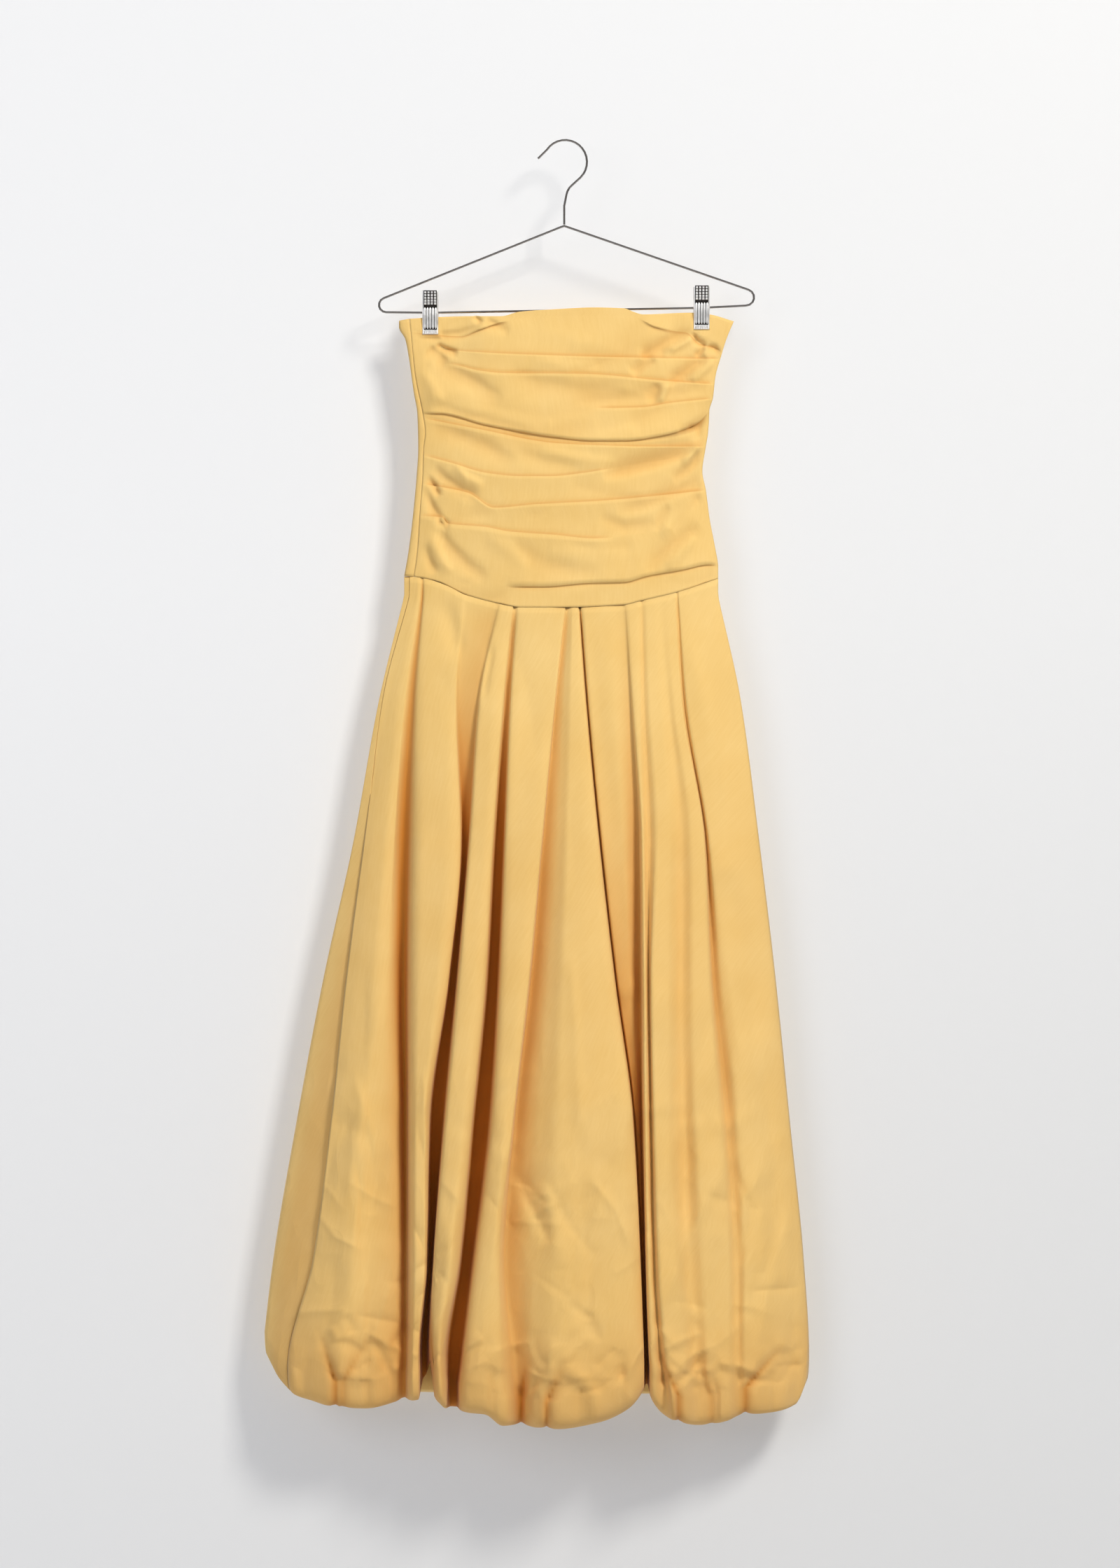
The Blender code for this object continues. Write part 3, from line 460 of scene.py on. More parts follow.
@dataclass(frozen=True)
class BackPleat:
    """One pleat of the skirt's back: its share of the way across, and how deep it lies."""

    share: float
    depth: float


BACK_PLEATS = (
    BackPleat(0.07, 0.30),
    BackPleat(0.18, 0.45),
    BackPleat(0.29, 0.38),
    BackPleat(0.41, 0.50),
    BackPleat(0.52, 0.35),
    BackPleat(0.63, 0.48),
    BackPleat(0.75, 0.40),
    BackPleat(0.86, 0.46),
)


@dataclass(frozen=True)
class WrapLine:
    """One line of the back where it comes forward round the left edge, to the side seam.

    forward is the share of that way; inner_y is how far back its turned-up end stands.
    """

    forward: float
    hem_z: float
    inner_y: float


WRAP_LINES = (
    WrapLine(0.0, -1391.0, 5.5),
    WrapLine(0.25, -1403.0, 3.2),
    WrapLine(0.5, -1414.0, 0.5),
    WrapLine(0.75, -1422.0, -2.0),
    WrapLine(1.0, -1429.0, -4.6),
)


@dataclass(frozen=True)
class Tuck:
    """A fold that crosses the bodice: points of its line, and the step of the cloth there.

    step is how far one layer stands proud at the line; above tells whether it is the upper
    one. The proud layer sinks back over reach. gaps are stretches of x without the tuck.
    """

    name: str
    line: tuple
    step: float
    above: bool
    reach: float
    gaps: tuple = ()


TUCKS = (
    Tuck("top band", ((-181, -218), (-118, -223), (-96, -215), (-70, -207), (-49, -204), (-9, -201),
                      (34, -200), (71, -200), (82, -202), (103, -212), (124, -217), (140, -219),
                      (154, -231), (173, -236), (184, -244)),
         2.6, True, 20.0, ((-60, 84),)),
    Tuck("first", ((-178, -229), (-149, -234), (-128, -239), (-6, -245), (114, -248), (184, -249)),
         2.0, False, 26.0, ((-190, -152),)),
    Tuck("second", ((-172, -254), (-130, -255), (-98, -262), (-70, -265), (23, -266), (116, -274),
                    (174, -278)), 2.4, False, 30.0, ((-190, -140),)),
    Tuck("third", ((-168, -287), (-85, -299), (53, -305), (90, -304), (122, -299), (172, -294)),
         1.4, False, 22.0, ((-190, 30),)),
    Tuck("great fold", ((-166, -311), (-144, -311), (-90, -324), (-11, -338), (34, -342), (69, -342),
                        (114, -336), (141, -328), (156, -320), (166, -308)), 2.3, True, 44.0),
    Tuck("under fold", ((-166, -316), (-98, -329), (-11, -345), (26, -347), (95, -349), (162, -349)),
         1.5, False, 24.0),
    Tuck("sixth", ((-165, -358), (-128, -368), (-90, -379), (-48, -383), (-17, -383), (23, -379),
                   (42, -376), (99, -366), (160, -360)), 1.2, False, 20.0, ((60, 180),)),
    Tuck("seventh", ((-166, -391), (-110, -402), (-80, -419), (-32, -415), (42, -411), (108, -405),
                     (162, -399)), 1.8, False, 22.0),
    Tuck("eighth", ((-168, -428), (-140, -430), (-133, -437), (-90, -441), (-64, -446), (-11, -450),
                    (34, -454), (99, -447), (168, -435)), 2.0, False, 24.0, ((60, 180),)),
    Tuck("low fold", ((-176, -471), (-117, -491), (-56, -509), (-24, -509), (29, -505), (69, -504),
                      (95, -497), (135, -490), (166, -484), (176, -485)),
         1.9, True, 36.0, ((-190, -70),)),
)


@dataclass(frozen=True)
class Crease:
    """A soft line pressed into the cloth, as it lines up on the hanger's plane.

    height is how far it stands out, or lies in where it is negative. It fades over left_fade
    on the left of its path and over right_fade on the right, seen from its first point.
    """

    path: tuple
    height: float
    left_fade: float
    right_fade: float
    # 2 rounds the crease off; towards 1 it becomes a kink
    power: float = 2.0


# Single creases of the bodice's front, listed one by one
BODICE_CREASES = (
    # Under the left clip and band
    Crease(((-174, -218), (-150, -222), (-120, -219), (-98, -211)), -1.3, 3, 7),
    Crease(((-103, -200), (-98, -204), (-95, -208)), -1.6, 2.5, 4),
    Crease(((-146, -232), (-138, -237), (-122, -242)), -2.6, 3, 5),
    Crease(((-155, -236), (-142, -245), (-134, -253)), -1.8, 4, 8),
    Crease(((-150, -252), (-128, -262), (-104, -274), (-70, -296)), -1.9, 7, 13),
    Crease(((-166, -262), (-150, -280), (-140, -302)), 1.0, 6, 10),
    Crease(((-90, -204), (-74, -212), (-62, -217)), -1.4, 4, 7),
    # From the right clip, down to the left
    Crease(((148, -219), (128, -227), (104, -238), (86, -246)), -2.5, 4, 9),
    Crease(((150, -222), (133, -233), (112, -243)), 1.9, 4, 6),
    Crease(((124, -239), (108, -243), (88, -247)), -1.5, 3, 6),
    Crease(((104, -249), (90, -258), (78, -268)), -2.0, 4, 9),
    Crease(((164, -248), (148, -257), (136, -268), (120, -276)), -2.6, 4, 10),
    Crease(((172, -252), (158, -264), (146, -276)), 1.6, 4, 6),
    Crease(((146, -219), (152, -228), (163, -234)), -3.0, 2.4, 4),
    Crease(((163, -234), (172, -235), (182, -243)), -2.2, 2.4, 6),
    Crease(((160, -236), (155, -242), (150, -247)), -1.8, 2.4, 4),
    Crease(((119, -276), (115, -288), (110, -299)), 1.7, 3.5, 6),
    Crease(((108, -278), (104, -289), (98, -300)), -1.3, 4, 8),
    # Over the great fold
    Crease(((168, -312), (158, -321), (146, -328), (130, -333)), -2.2, 4, 7),
    Crease(((-152, -300), (-120, -311), (-80, -322), (-36, -332)), -1.0, 6, 10),
    Crease(((166, -282), (120, -290), (60, -296), (10, -294)), -0.9, 6, 10),
    Crease(((-64, -262), (-30, -276), (20, -284), (70, -280)), -1.2, 8, 13),
    Crease(((-40, -250), (0, -256), (40, -257)), 0.8, 7, 10),
    # Between the great fold and the sixth
    Crease(((150, -350), (130, -360), (98, -370), (44, -384)), -3.0, 5, 14),
    Crease(((158, -334), (150, -330), (141, -331)), -2.4, 2.6, 5),
    Crease(((162, -352), (152, -366), (140, -378), (124, -388)), -2.0, 4, 8),
    Crease(((155, -348), (145, -358), (137, -370)), 1.7, 4, 6),
    Crease(((-158, -322), (-130, -331), (-90, -348), (-54, -368)), -1.6, 7, 12),
    Crease(((-30, -352), (10, -362), (60, -368)), 1.1, 6, 9),
    Crease(((-60, -352), (-20, -366), (20, -372)), -0.9, 6, 10),
    # Left, down from the sixth
    Crease(((-157, -384), (-148, -394), (-142, -406)), -2.6, 3, 5),
    Crease(((-150, -372), (-136, -386), (-118, -398), (-96, -406)), -1.7, 5, 9),
    Crease(((-160, -398), (-151, -418), (-141, -432)), -2.0, 4, 7),
    Crease(((-126, -370), (-112, -384), (-92, -394)), 1.5, 4, 7),
    Crease(((-146, -431), (-139, -435), (-131, -440)), -2.8, 2.4, 4),
    # Right, down from the seventh
    Crease(((160, -392), (130, -400), (96, -416), (60, -424)), -1.6, 5, 11),
    Crease(((158, -404), (136, -424), (122, -444)), -1.8, 5, 9),
    Crease(((150, -408), (128, -432), (110, -452)), 1.4, 5, 7),
    Crease(((120, -416), (112, -432), (104, -446)), -1.2, 4, 7),
    # Down to the low fold
    Crease(((156, -440), (128, -462), (106, -480), (96, -496)), -1.7, 5, 10),
    Crease(((150, -452), (130, -474), (118, -490)), 1.4, 5, 7),
    Crease(((-146, -440), (-132, -462), (-112, -482), (-86, -500)), -1.8, 5, 10),
    Crease(((-152, -450), (-142, -474), (-130, -494)), 1.5, 5, 8),
    Crease(((-160, -462), (-154, -480), (-146, -494)), -1.5, 4, 7),
    Crease(((-60, -460), (-30, -478), (10, -490), (44, -494)), -1.1, 7, 12),
    Crease(((0, -458), (36, -466), (80, -462)), -1.0, 6, 11),
    Crease(((40, -430), (70, -440), (104, -436)), -1.2, 5, 9),
    Crease(((-90, -452), (-60, -468), (-40, -488)), 0.9, 6, 8),
)

# Single creases of the skirt's front, listed one by one
SKIRT_CREASES = (
    Crease(((-133, -523), (-127, -560), (-121, -590)), -3.0, 8, 12),
    Crease(((-81, -575), (-87, -610), (-93, -639)), -2.6, 3, 5),
    Crease(((88, -961), (76, -972), (64, -982)), 2.4, 4, 12),
    Crease(((183, -834), (214, -963), (218, -1034)), -4.0, 16, 20),
    Crease(((164, -834), (180, -960), (192, -1060)), -2.2, 6, 8),
    Crease(((7, -927), (14, -1020), (18, -1135)), 1.4, 5, 8),
    Crease(((106, -799), (101, -900), (97, -1010)), 1.6, 5, 8),
    Crease(((-56, -1178), (-40, -1214), (-16, -1262)), -4.2, 14, 7, 1.4),
    Crease(((-30, -1190), (-12, -1235), (-2, -1290)), 2.2, 9, 12),
    Crease(((-222, -1286), (-225, -1350), (-226, -1422)), -1.4, 2.4, 2.4, 1.2),
    Crease(((-227, -1292), (-229, -1350), (-231, -1420)), 1.2, 3, 3),
    Crease(((66, -1443), (90, -1430), (126, -1408)), -2.6, 5, 6, 1.2),
    Crease(((-48, -1462), (-20, -1440), (10, -1418)), -2.6, 5, 7, 1.2),
    Crease(((-250, -1342), (-244, -1354), (-241, -1364)), -2.0, 5, 7),
    Crease(((-267, -1355), (-262, -1364), (-258, -1373)), 2.0, 5, 7),
    Crease(((162, -1206), (178, -1210), (194, -1214)), -1.4, 5, 9),
    Crease(((-223, -1369), (-214, -1376), (-203, -1400), (-192, -1423)), -3.0, 5, 8),
    Crease(((-261, -1372), (-244, -1376), (-226, -1389)), -2.4, 5, 9),
    Crease(((-269, -1425), (-266, -1440), (-263, -1450)), -3.0, 4, 5),
    Crease(((-35, -1443), (-12, -1424), (9, -1412)), -2.2, 5, 8),
    Crease(((-46, -1423), (-49, -1445), (-51, -1462)), -3.0, 4, 6),
    Crease(((131, -1402), (143, -1416), (154, -1428)), -2.6, 5, 8),
    Crease(((118, -1385), (138, -1406), (158, -1426)), 2.0, 5, 8),
    Crease(((171, -1403), (200, -1412), (228, -1421)), -2.2, 5, 9),
    Crease(((236, -1390), (256, -1386), (276, -1381)), -2.4, 6, 9),
    Crease(((211, -1430), (232, -1425), (262, -1432)), 2.2, 6, 7),
    Crease(((-124, -1421), (-100, -1430), (-75, -1432)), -1.6, 5, 8),
    Crease(((-60, -640), (-66, -760), (-82, -880)), 1.0, 8, 10),
    Crease(((30, -560), (44, -700), (60, -820)), -1.2, 9, 12),
    Crease(((-180, -700), (-196, -860), (-210, -1000)), -1.6, 9, 14),
    Crease(((140, -560), (165, -660), (182, -760)), 1.4, 9, 12),
    Crease(((226, -1060), (240, -1180), (246, -1300)), -2.4, 9, 14),
    Crease(((18, -1180), (24, -1290), (22, -1400)), -1.6, 9, 14),
    Crease(((-232, -1080), (-240, -1190), (-252, -1300)), 1.8, 10, 12),
)


@dataclass(frozen=True)
class Gather:
    """A place where the turned-up hem is caught, with a fold that runs up from it.

    x is its width at the hem, lean how far the fold goes sideways for each millimetre up,
    and strength its share of the greatest depth.
    """

    x: float
    lean: float
    strength: float


HEM_GATHERS = (
    Gather(-262, -0.33, 1.0),
    Gather(-253, 0.56, 0.6),
    Gather(-152, 0.0, 1.0),
    Gather(-122, 0.15, 0.6),
    Gather(-49, 0.12, 1.0),
    Gather(-20, 0.44, 0.8),
    Gather(131, -0.5, 0.9),
    Gather(168, -0.2, 0.5),
    Gather(207, 0.9, 0.9),
)


def press(crease: Crease, x: np.ndarray, z: np.ndarray, lift: np.ndarray) -> None:
    """Add a crease to the lift of a cloth.

    Args:
        crease: The crease.
        x: Width of each point of the cloth.
        z: Height of each point of the cloth.
        lift: How far each point is lifted; changed in place.
    """
    path = np.array(crease.path, dtype=float)
    reach = CREASE_REACH * max(crease.left_fade, crease.right_fade)
    low, high = path.min(axis=0) - reach, path.max(axis=0) + reach
    near = (x > low[0]) & (x < high[0]) & (z > low[1]) & (z < high[1])
    if not near.any():
        return
    px, pz = x[near], z[near]
    runs = np.linalg.norm(np.diff(path, axis=0), axis=1)
    done = np.concatenate(([0.0], np.cumsum(runs)))
    best = np.full(px.shape, np.inf)
    side = np.zeros(px.shape)
    along = np.zeros(px.shape)
    for start, stop, run, before in zip(path, path[1:], runs, done):
        way = (stop - start) / run
        t = np.clip((px - start[0]) * way[0] + (pz - start[1]) * way[1], 0.0, run)
        dx, dz = px - start[0] - t * way[0], pz - start[1] - t * way[1]
        distance = np.hypot(dx, dz)
        closer = distance < best
        best = np.where(closer, distance, best)
        side = np.where(closer, way[0] * dz - way[1] * dx, side)
        along = np.where(closer, before + t, along)
    fade = np.where(side > 0, crease.left_fade, crease.right_fade)
    taper = 1 - (2 * along / done[-1] - 1)**4
    lift[near] += crease.height * taper * np.exp(-(best / fade)**crease.power)


@dataclass(frozen=True)
class Crumple:
    """A field of small creases that handling leaves in cotton.

    x and z are its range, lean is the mean angle of a crease from upright in degrees, and
    spread how far the angles scatter. lengths, fades and heights are least and most, power
    is each crease's own, and bow is how far they bend, as a share of half their length.
    """

    seed: int
    count: int
    x: tuple
    z: tuple
    lean: float
    spread: float
    lengths: tuple
    fades: tuple
    heights: tuple
    power: float = 1.3
    bow: float = 0.12

    def creases(self) -> list:
        """Scatter the creases of the field, the same on each run.

        Returns:
            The creases.
        """
        chance = np.random.default_rng(self.seed)
        found = []
        for _ in range(self.count):
            middle = np.array((chance.uniform(*self.x), chance.uniform(*self.z)))
            angle = math.radians(chance.normal(self.lean, self.spread))
            way = np.array((math.sin(angle), math.cos(angle)))
            half = way * chance.uniform(*self.lengths) / 2
            bow = np.array((way[1], -way[0])) * chance.normal(0.0, self.bow) * np.linalg.norm(half)
            height = chance.uniform(*self.heights) * chance.choice((-1.0, 1.0))
            fades = chance.uniform(*self.fades, size=2)
            path = (tuple(middle - half), tuple(middle + bow), tuple(middle + half))
            found.append(Crease(path, height, fades[0], fades[1], self.power))
        return found


FRONT_CRUMPLES = (
    Crumple(11, 26, (-240, 240), (-1150, -580), 4.0, 8.0, (160, 360), (10, 24), (0.8, 2.2)),
    Crumple(12, 30, (-310, 280), (-1400, -1060), 6.0, 12.0, (100, 260), (8, 16), (1.0, 3.0)),
    Crumple(13, 90, (-310, 275), (-1440, -1060), 20.0, 44.0, (40, 120), (3.5, 8.0), (0.9, 2.4), 1.0),
    Crumple(14, 46, (-320, 280), (-1470, -1425), 0.0, 18.0, (30, 90), (3.0, 7.0), (2.6, 5.6), 1.1),
    Crumple(15, 50, (-320, 280), (-1450, -1370), 62.0, 30.0, (30, 80), (3.0, 6.0), (1.2, 2.8), 1.0),
)
BACK_CRUMPLES = (
    Crumple(21, 34, (-300, 280), (-1150, -560), -3.0, 10.0, (140, 320), (12, 24), (0.6, 1.6)),
    Crumple(22, 40, (-340, 280), (-1400, -1060), -3.0, 20.0, (80, 200), (8, 15), (0.7, 1.8)),
    Crumple(23, 60, (-340, 280), (-1430, -1280), 0.0, 44.0, (35, 100), (4.0, 7), (0.4, 1.1)),
)
BODICE_CRUMPLES = (
    Crumple(31, 34, (-165, 175), (-520, -215), 74.0, 16.0, (60, 170), (7, 14), (0.25, 0.7)),
    Crumple(32, 36, (-165, 175), (-520, -215), 60.0, 24.0, (20, 55), (2.6, 5), (0.15, 0.4)),
)
BODICE_BACK_CRUMPLES = (
    Crumple(41, 40, (-180, 180), (-500, -215), 40.0, 40.0, (40, 120), (8, 18), (0.2, 0.7)),
)


def wear(grid: np.ndarray) -> np.ndarray:
    """Return how creased by handling a skirt's points are, most of all near its hem."""
    return mix(WAIST_WEAR, 1.0, ease((MIDDLE - grid[..., 2]) / WEAR_REACH))


def relief(creases: tuple, crumples: tuple, x: np.ndarray, z: np.ndarray) -> np.ndarray:
    """Add up single creases and fields of crumples.

    Args:
        creases: Single creases.
        crumples: Fields of small ones.
        x: Width of each point.
        z: Height of each point.

    Returns:
        How far each point is lifted.
    """
    lift = np.zeros(x.shape)
    for crease in creases:
        press(crease, x, z, lift)
    for field_of in crumples:
        for crease in field_of.creases():
            press(crease, x, z, lift)
    return lift


def put(name: str, data: bpy.types.ID) -> bpy.types.Object:
    """Add an object to the scene.

    Args:
        name: Its name.
        data: Its mesh, light or camera.

    Returns:
        The new object, at the origin.
    """
    item = bpy.data.objects.new(name, data)
    bpy.context.scene.collection.objects.link(item)
    return item


def shell(name: str, grid: np.ndarray, thickness: float, fold: np.ndarray | None = None,
          handled: np.ndarray | None = None, tube: bool = False) -> bpy.types.Object:
    """Make a thin closed shell from a grid of points, with a UV map in metres of cloth.

    Args:
        name: The piece's name.
        grid: Points of the outer face in millimetres, [rows, columns, 3], rows downwards.
        thickness: Its thickness in millimetres.
        fold: How much painted shade each point takes, from 0 to 1, kept in its fold attribute.
        handled: How creased by handling the cloth is at each point, from 0 to 1.
        tube: Whether the last column joins the first.

    Returns:
        The new object, at the origin.
    """
    rows, columns = grid.shape[:2]
    if tube:
        padded = np.concatenate((grid[:, -1:], grid, grid[:, :1]), axis=1)
        across = (padded[:, 2:] - padded[:, :-2]) / 2
    else:
        across = np.gradient(grid, axis=1)
    down = np.gradient(grid, axis=0)
    normal = np.cross(down, across)
    normal /= np.maximum(np.linalg.norm(normal, axis=-1, keepdims=True), 1e-9)
    points = np.concatenate((grid.reshape(-1, 3), (grid - normal * thickness).reshape(-1, 3)))

    spans = columns if tube else columns - 1
    r, c = np.meshgrid(np.arange(rows - 1), np.arange(spans), indexing="ij")
    here = (r * columns + c).ravel()
    right = (r * columns + (c + 1) % columns).ravel()
    outer = np.stack((here, here + columns, right + columns, right), axis=1)
    inner = outer[:, ::-1] + rows * columns
    rims = []
    span = np.arange(spans)
    for row, turned in ((0, False), (rows - 1, True)):
        a, b = row * columns + span, row * columns + (span + 1) % columns
        rims.append(rim_faces(a, b, rows * columns, turned))
    if not tube:
        step = np.arange(rows - 1) * columns
        rims.append(rim_faces(step, step + columns, rows * columns, True))
        rims.append(rim_faces(step + columns - 1, step + 2 * columns - 1, rows * columns, False))
    faces = np.concatenate([outer, inner] + rims)

    mesh = bpy.data.meshes.new(name)
    mesh.from_pydata((points * MM).tolist(), [], faces.tolist())
    u = running(np.linalg.norm(np.diff(grid, axis=1), axis=-1))
    v = running(np.linalg.norm(np.diff(grid, axis=0), axis=-1).T).T
    flat = np.stack((u, -v), axis=-1).reshape(-1, 2) * MM
    flat = np.concatenate((flat, flat))
    layer = mesh.uv_layers.new(name="cloth")
    corners = np.empty(len(mesh.loops), dtype=np.int32)
    mesh.loops.foreach_get("vertex_index", corners)
    layer.data.foreach_set("uv", flat[corners].ravel())
    for kind, values in (("fold", fold), ("handled", handled)):
        if values is not None:
            layer = mesh.attributes.new(kind, "FLOAT", "POINT")
            layer.data.foreach_set("value", np.tile(values.ravel(), 2).astype(np.float32))
    mesh.shade_smooth()
    mesh.validate()
    return put(name, mesh)


def rim_faces(a: np.ndarray, b: np.ndarray, offset: int, turned: bool) -> np.ndarray:
    """Return the faces that close a shell's edge.

    Args:
        a: First point of each edge on the outer face.
        b: Second point of each edge.
        offset: Distance in the list from an outer point to its inner one.
        turned: Whether the faces run the other way round.

    Returns:
        One row of four points for each face.
    """
    faces = np.stack((a, b, b + offset, a + offset), axis=1)
    return faces[:, ::-1] if turned else faces


def hex_to_linear(text: str) -> tuple:
    """Turn an sRGB hex colour to linear red, green, blue and alpha.

    Args:
        text: Six hex digits, with or without a leading #.

    Returns:
        Four numbers from 0 to 1.
    """
    text = text.lstrip("#")
    parts = [int(text[i:i + 2], 16) / 255 for i in (0, 2, 4)]
    linear = [p / 12.92 if p <= 0.04045 else ((p + 0.055) / 1.055)**2.4 for p in parts]
    return (*linear, 1.0)


def add_node(tree: bpy.types.NodeTree, kind: str, settings: dict | None = None,
             inputs: dict | None = None) -> bpy.types.Node:
    """Add a node with its settings and links.

    Args:
        tree: The tree that it goes in.
        kind: Its type, as Blender names it.
        settings: Property names and their values.
        inputs: Sockets, by name or place, and a value or an output to link to each.

    Returns:
        The new node.
    """
    node = tree.nodes.new(kind)
    for key, value in (settings or {}).items():
        setattr(node, key, value)
    for key, value in (inputs or {}).items():
        if isinstance(value, bpy.types.NodeSocket):
            tree.links.new(value, node.inputs[key])
        else:
            node.inputs[key].default_value = value
    return node


def new_material(name: str) -> tuple:
    """Start a material.

    Args:
        name: Its name.

    Returns:
        The material, its tree and its Principled BSDF.
    """
    material = bpy.data.materials.new(name)
    material.use_nodes = True
    return material, material.node_tree, material.node_tree.nodes["Principled BSDF"]


@dataclass(frozen=True)
class WovenCotton:
    """Plain-woven cotton: matt, with a faint fuzz that lightens it at a glancing angle."""

    name: str
    light: str
    deep: str
    # Painted shade: the cloth's fold attribute mixes in this colour where it lies in shade in folds,
    # creases and gathers and low on the skirt; light that bounces about in a fold takes on this
    # colour
    folded: str
    roughness: float = 0.82
    sheen: float = 0.12
    sheen_roughness: float = 0.5
    refraction: float = 1.4
    # Real threads are 0.25 mm apart; drawn at 0.8 mm, the finest that shows
    thread_mm: float = 0.8
    thread_depth_mm: float = 0.05
    thread_strength: float = 0.6
    # Thicker and thinner threads: width and length of their streaks, and their share
    slub_mm: tuple = (2.2, 26.0)
    slub_share: float = 0.35
    crinkle_mm: float = 9.0
    crinkle_depth_mm: float = 0.22
    crinkle_roughness: float = 0.45
    cloud_mm: float = 70.0
    # Sharp creases from handling, where the cloth's "handled" attribute lets them show
    wrinkle_mm: float = 30.0
    wrinkle_depth_mm: float = 0.7
    wrinkle_lean: float = 0.35
    wrinkle_stretch: float = 0.55

    def build(self) -> bpy.types.Material:
        """Build the finish.

        Returns:
            The material.
        """
        material, tree, shader = new_material(self.name)
        place = add_node(tree, "ShaderNodeTexCoord")
        cloud = add_node(tree, "ShaderNodeTexNoise", inputs={
            "Vector": place.outputs["Object"], "Scale": 1 / (self.cloud_mm * MM), "Detail": 3.0})
        slub = add_node(tree, "ShaderNodeMapping", inputs={
            "Vector": place.outputs["UV"],
            "Scale": (1 / (self.slub_mm[0] * MM), 1 / (self.slub_mm[1] * MM), 1.0)})
        threads = add_node(tree, "ShaderNodeTexNoise", inputs={
            "Vector": slub.outputs["Vector"], "Scale": 1.0, "Detail": 2.0})
        blend = add_node(tree, "ShaderNodeMix", {"data_type": "FLOAT"}, {
            0: self.slub_share, 2: cloud.outputs["Fac"], 3: threads.outputs["Fac"]})
        tone = add_node(tree, "ShaderNodeMix", {"data_type": "RGBA"}, {
            0: blend.outputs[0], 6: hex_to_linear(self.deep), 7: hex_to_linear(self.light)})
        # Painted shade: the fold attribute darkens the colour towards the folded one
        inside = add_node(tree, "ShaderNodeAttribute", {"attribute_name": "fold"})
        tone = add_node(tree, "ShaderNodeMix", {"data_type": "RGBA"}, {
            0: inside.outputs["Fac"], 6: tone.outputs[2], 7: hex_to_linear(self.folded)})
        waves = []
        for direction in ("X", "Y"):
            wave = add_node(tree, "ShaderNodeTexWave",
                            {"wave_type": "BANDS", "bands_direction": direction},
                            {"Vector": place.outputs["UV"],
                             "Scale": 1 / (self.thread_mm * MM) / math.tau * math.pi,
                             "Distortion": 0.0})
            waves.append(wave.outputs["Fac"])
        weave = add_node(tree, "ShaderNodeMath", {"operation": "MAXIMUM"},
                         {0: waves[0], 1: waves[1]})
        crinkle = add_node(tree, "ShaderNodeTexNoise", inputs={
            "Vector": place.outputs["Object"], "Scale": 1 / (self.crinkle_mm * MM),
            "Detail": 2.0, "Roughness": self.crinkle_roughness})
        soft = add_node(tree, "ShaderNodeBump", inputs={
            "Strength": 1.0, "Distance": self.crinkle_depth_mm * MM,
            "Height": crinkle.outputs["Fac"]})
        handled = add_node(tree, "ShaderNodeAttribute", {"attribute_name": "handled"})
        stretch = add_node(tree, "ShaderNodeMapping", inputs={
            "Vector": place.outputs["Object"], "Rotation": (0.0, self.wrinkle_lean, 0.0),
            "Scale": (1.0, 1.0, self.wrinkle_stretch)})
        sharp = add_node(tree, "ShaderNodeTexNoise",
                         {"noise_type": "RIDGED_MULTIFRACTAL"},
                         {"Vector": stretch.outputs["Vector"],
                          "Scale": 1 / (self.wrinkle_mm * MM), "Detail": 1.0, "Roughness": 0.4,
                          "Offset": 0.9, "Gain": 1.0})
        ridge = add_node(tree, "ShaderNodeMath", {"operation": "MULTIPLY"}, {
            0: sharp.outputs["Fac"], 1: handled.outputs["Fac"]})
        soft = add_node(tree, "ShaderNodeBump", inputs={
            "Strength": 1.0, "Distance": self.wrinkle_depth_mm * MM,
            "Height": ridge.outputs[0], "Normal": soft.outputs["Normal"]})
        fine = add_node(tree, "ShaderNodeBump", inputs={
            "Strength": self.thread_strength, "Distance": self.thread_depth_mm * MM,
            "Height": weave.outputs[0], "Normal": soft.outputs["Normal"]})
        tree.links.new(tone.outputs[2], shader.inputs["Base Color"])
        tree.links.new(fine.outputs["Normal"], shader.inputs["Normal"])
        shader.inputs["Roughness"].default_value = self.roughness
        shader.inputs["Sheen Weight"].default_value = self.sheen
        shader.inputs["Sheen Roughness"].default_value = self.sheen_roughness
        shader.inputs["IOR"].default_value = self.refraction
        return material


@dataclass(frozen=True)
class ChromedSteel:
    """Steel wire and strip, plated with bright chrome: mirror-like with fine wear."""

    name: str
    colour: str = "#C9C8CA"
    roughness: float = 0.16
    # Least and most of it where the plating is worn, as shares
    wear_range: tuple = (0.6, 1.5)
    wear_mm: float = 3.0

    def build(self) -> bpy.types.Material:
        """Build the finish.

        Returns:
            The material.
        """
        material, tree, shader = new_material(self.name)
        place = add_node(tree, "ShaderNodeTexCoord")
        wear = add_node(tree, "ShaderNodeTexNoise", inputs={
            "Vector": place.outputs["Object"], "Scale": 1 / (self.wear_mm * MM), "Detail": 4.0})
        rough = add_node(tree, "ShaderNodeMapRange", inputs={
            "Value": wear.outputs["Fac"], "To Min": self.roughness * self.wear_range[0],
            "To Max": self.roughness * self.wear_range[1]})
        tree.links.new(rough.outputs["Result"], shader.inputs["Roughness"])
        shader.inputs["Base Color"].default_value = hex_to_linear(self.colour)
        shader.inputs["Metallic"].default_value = 1.0
        return material


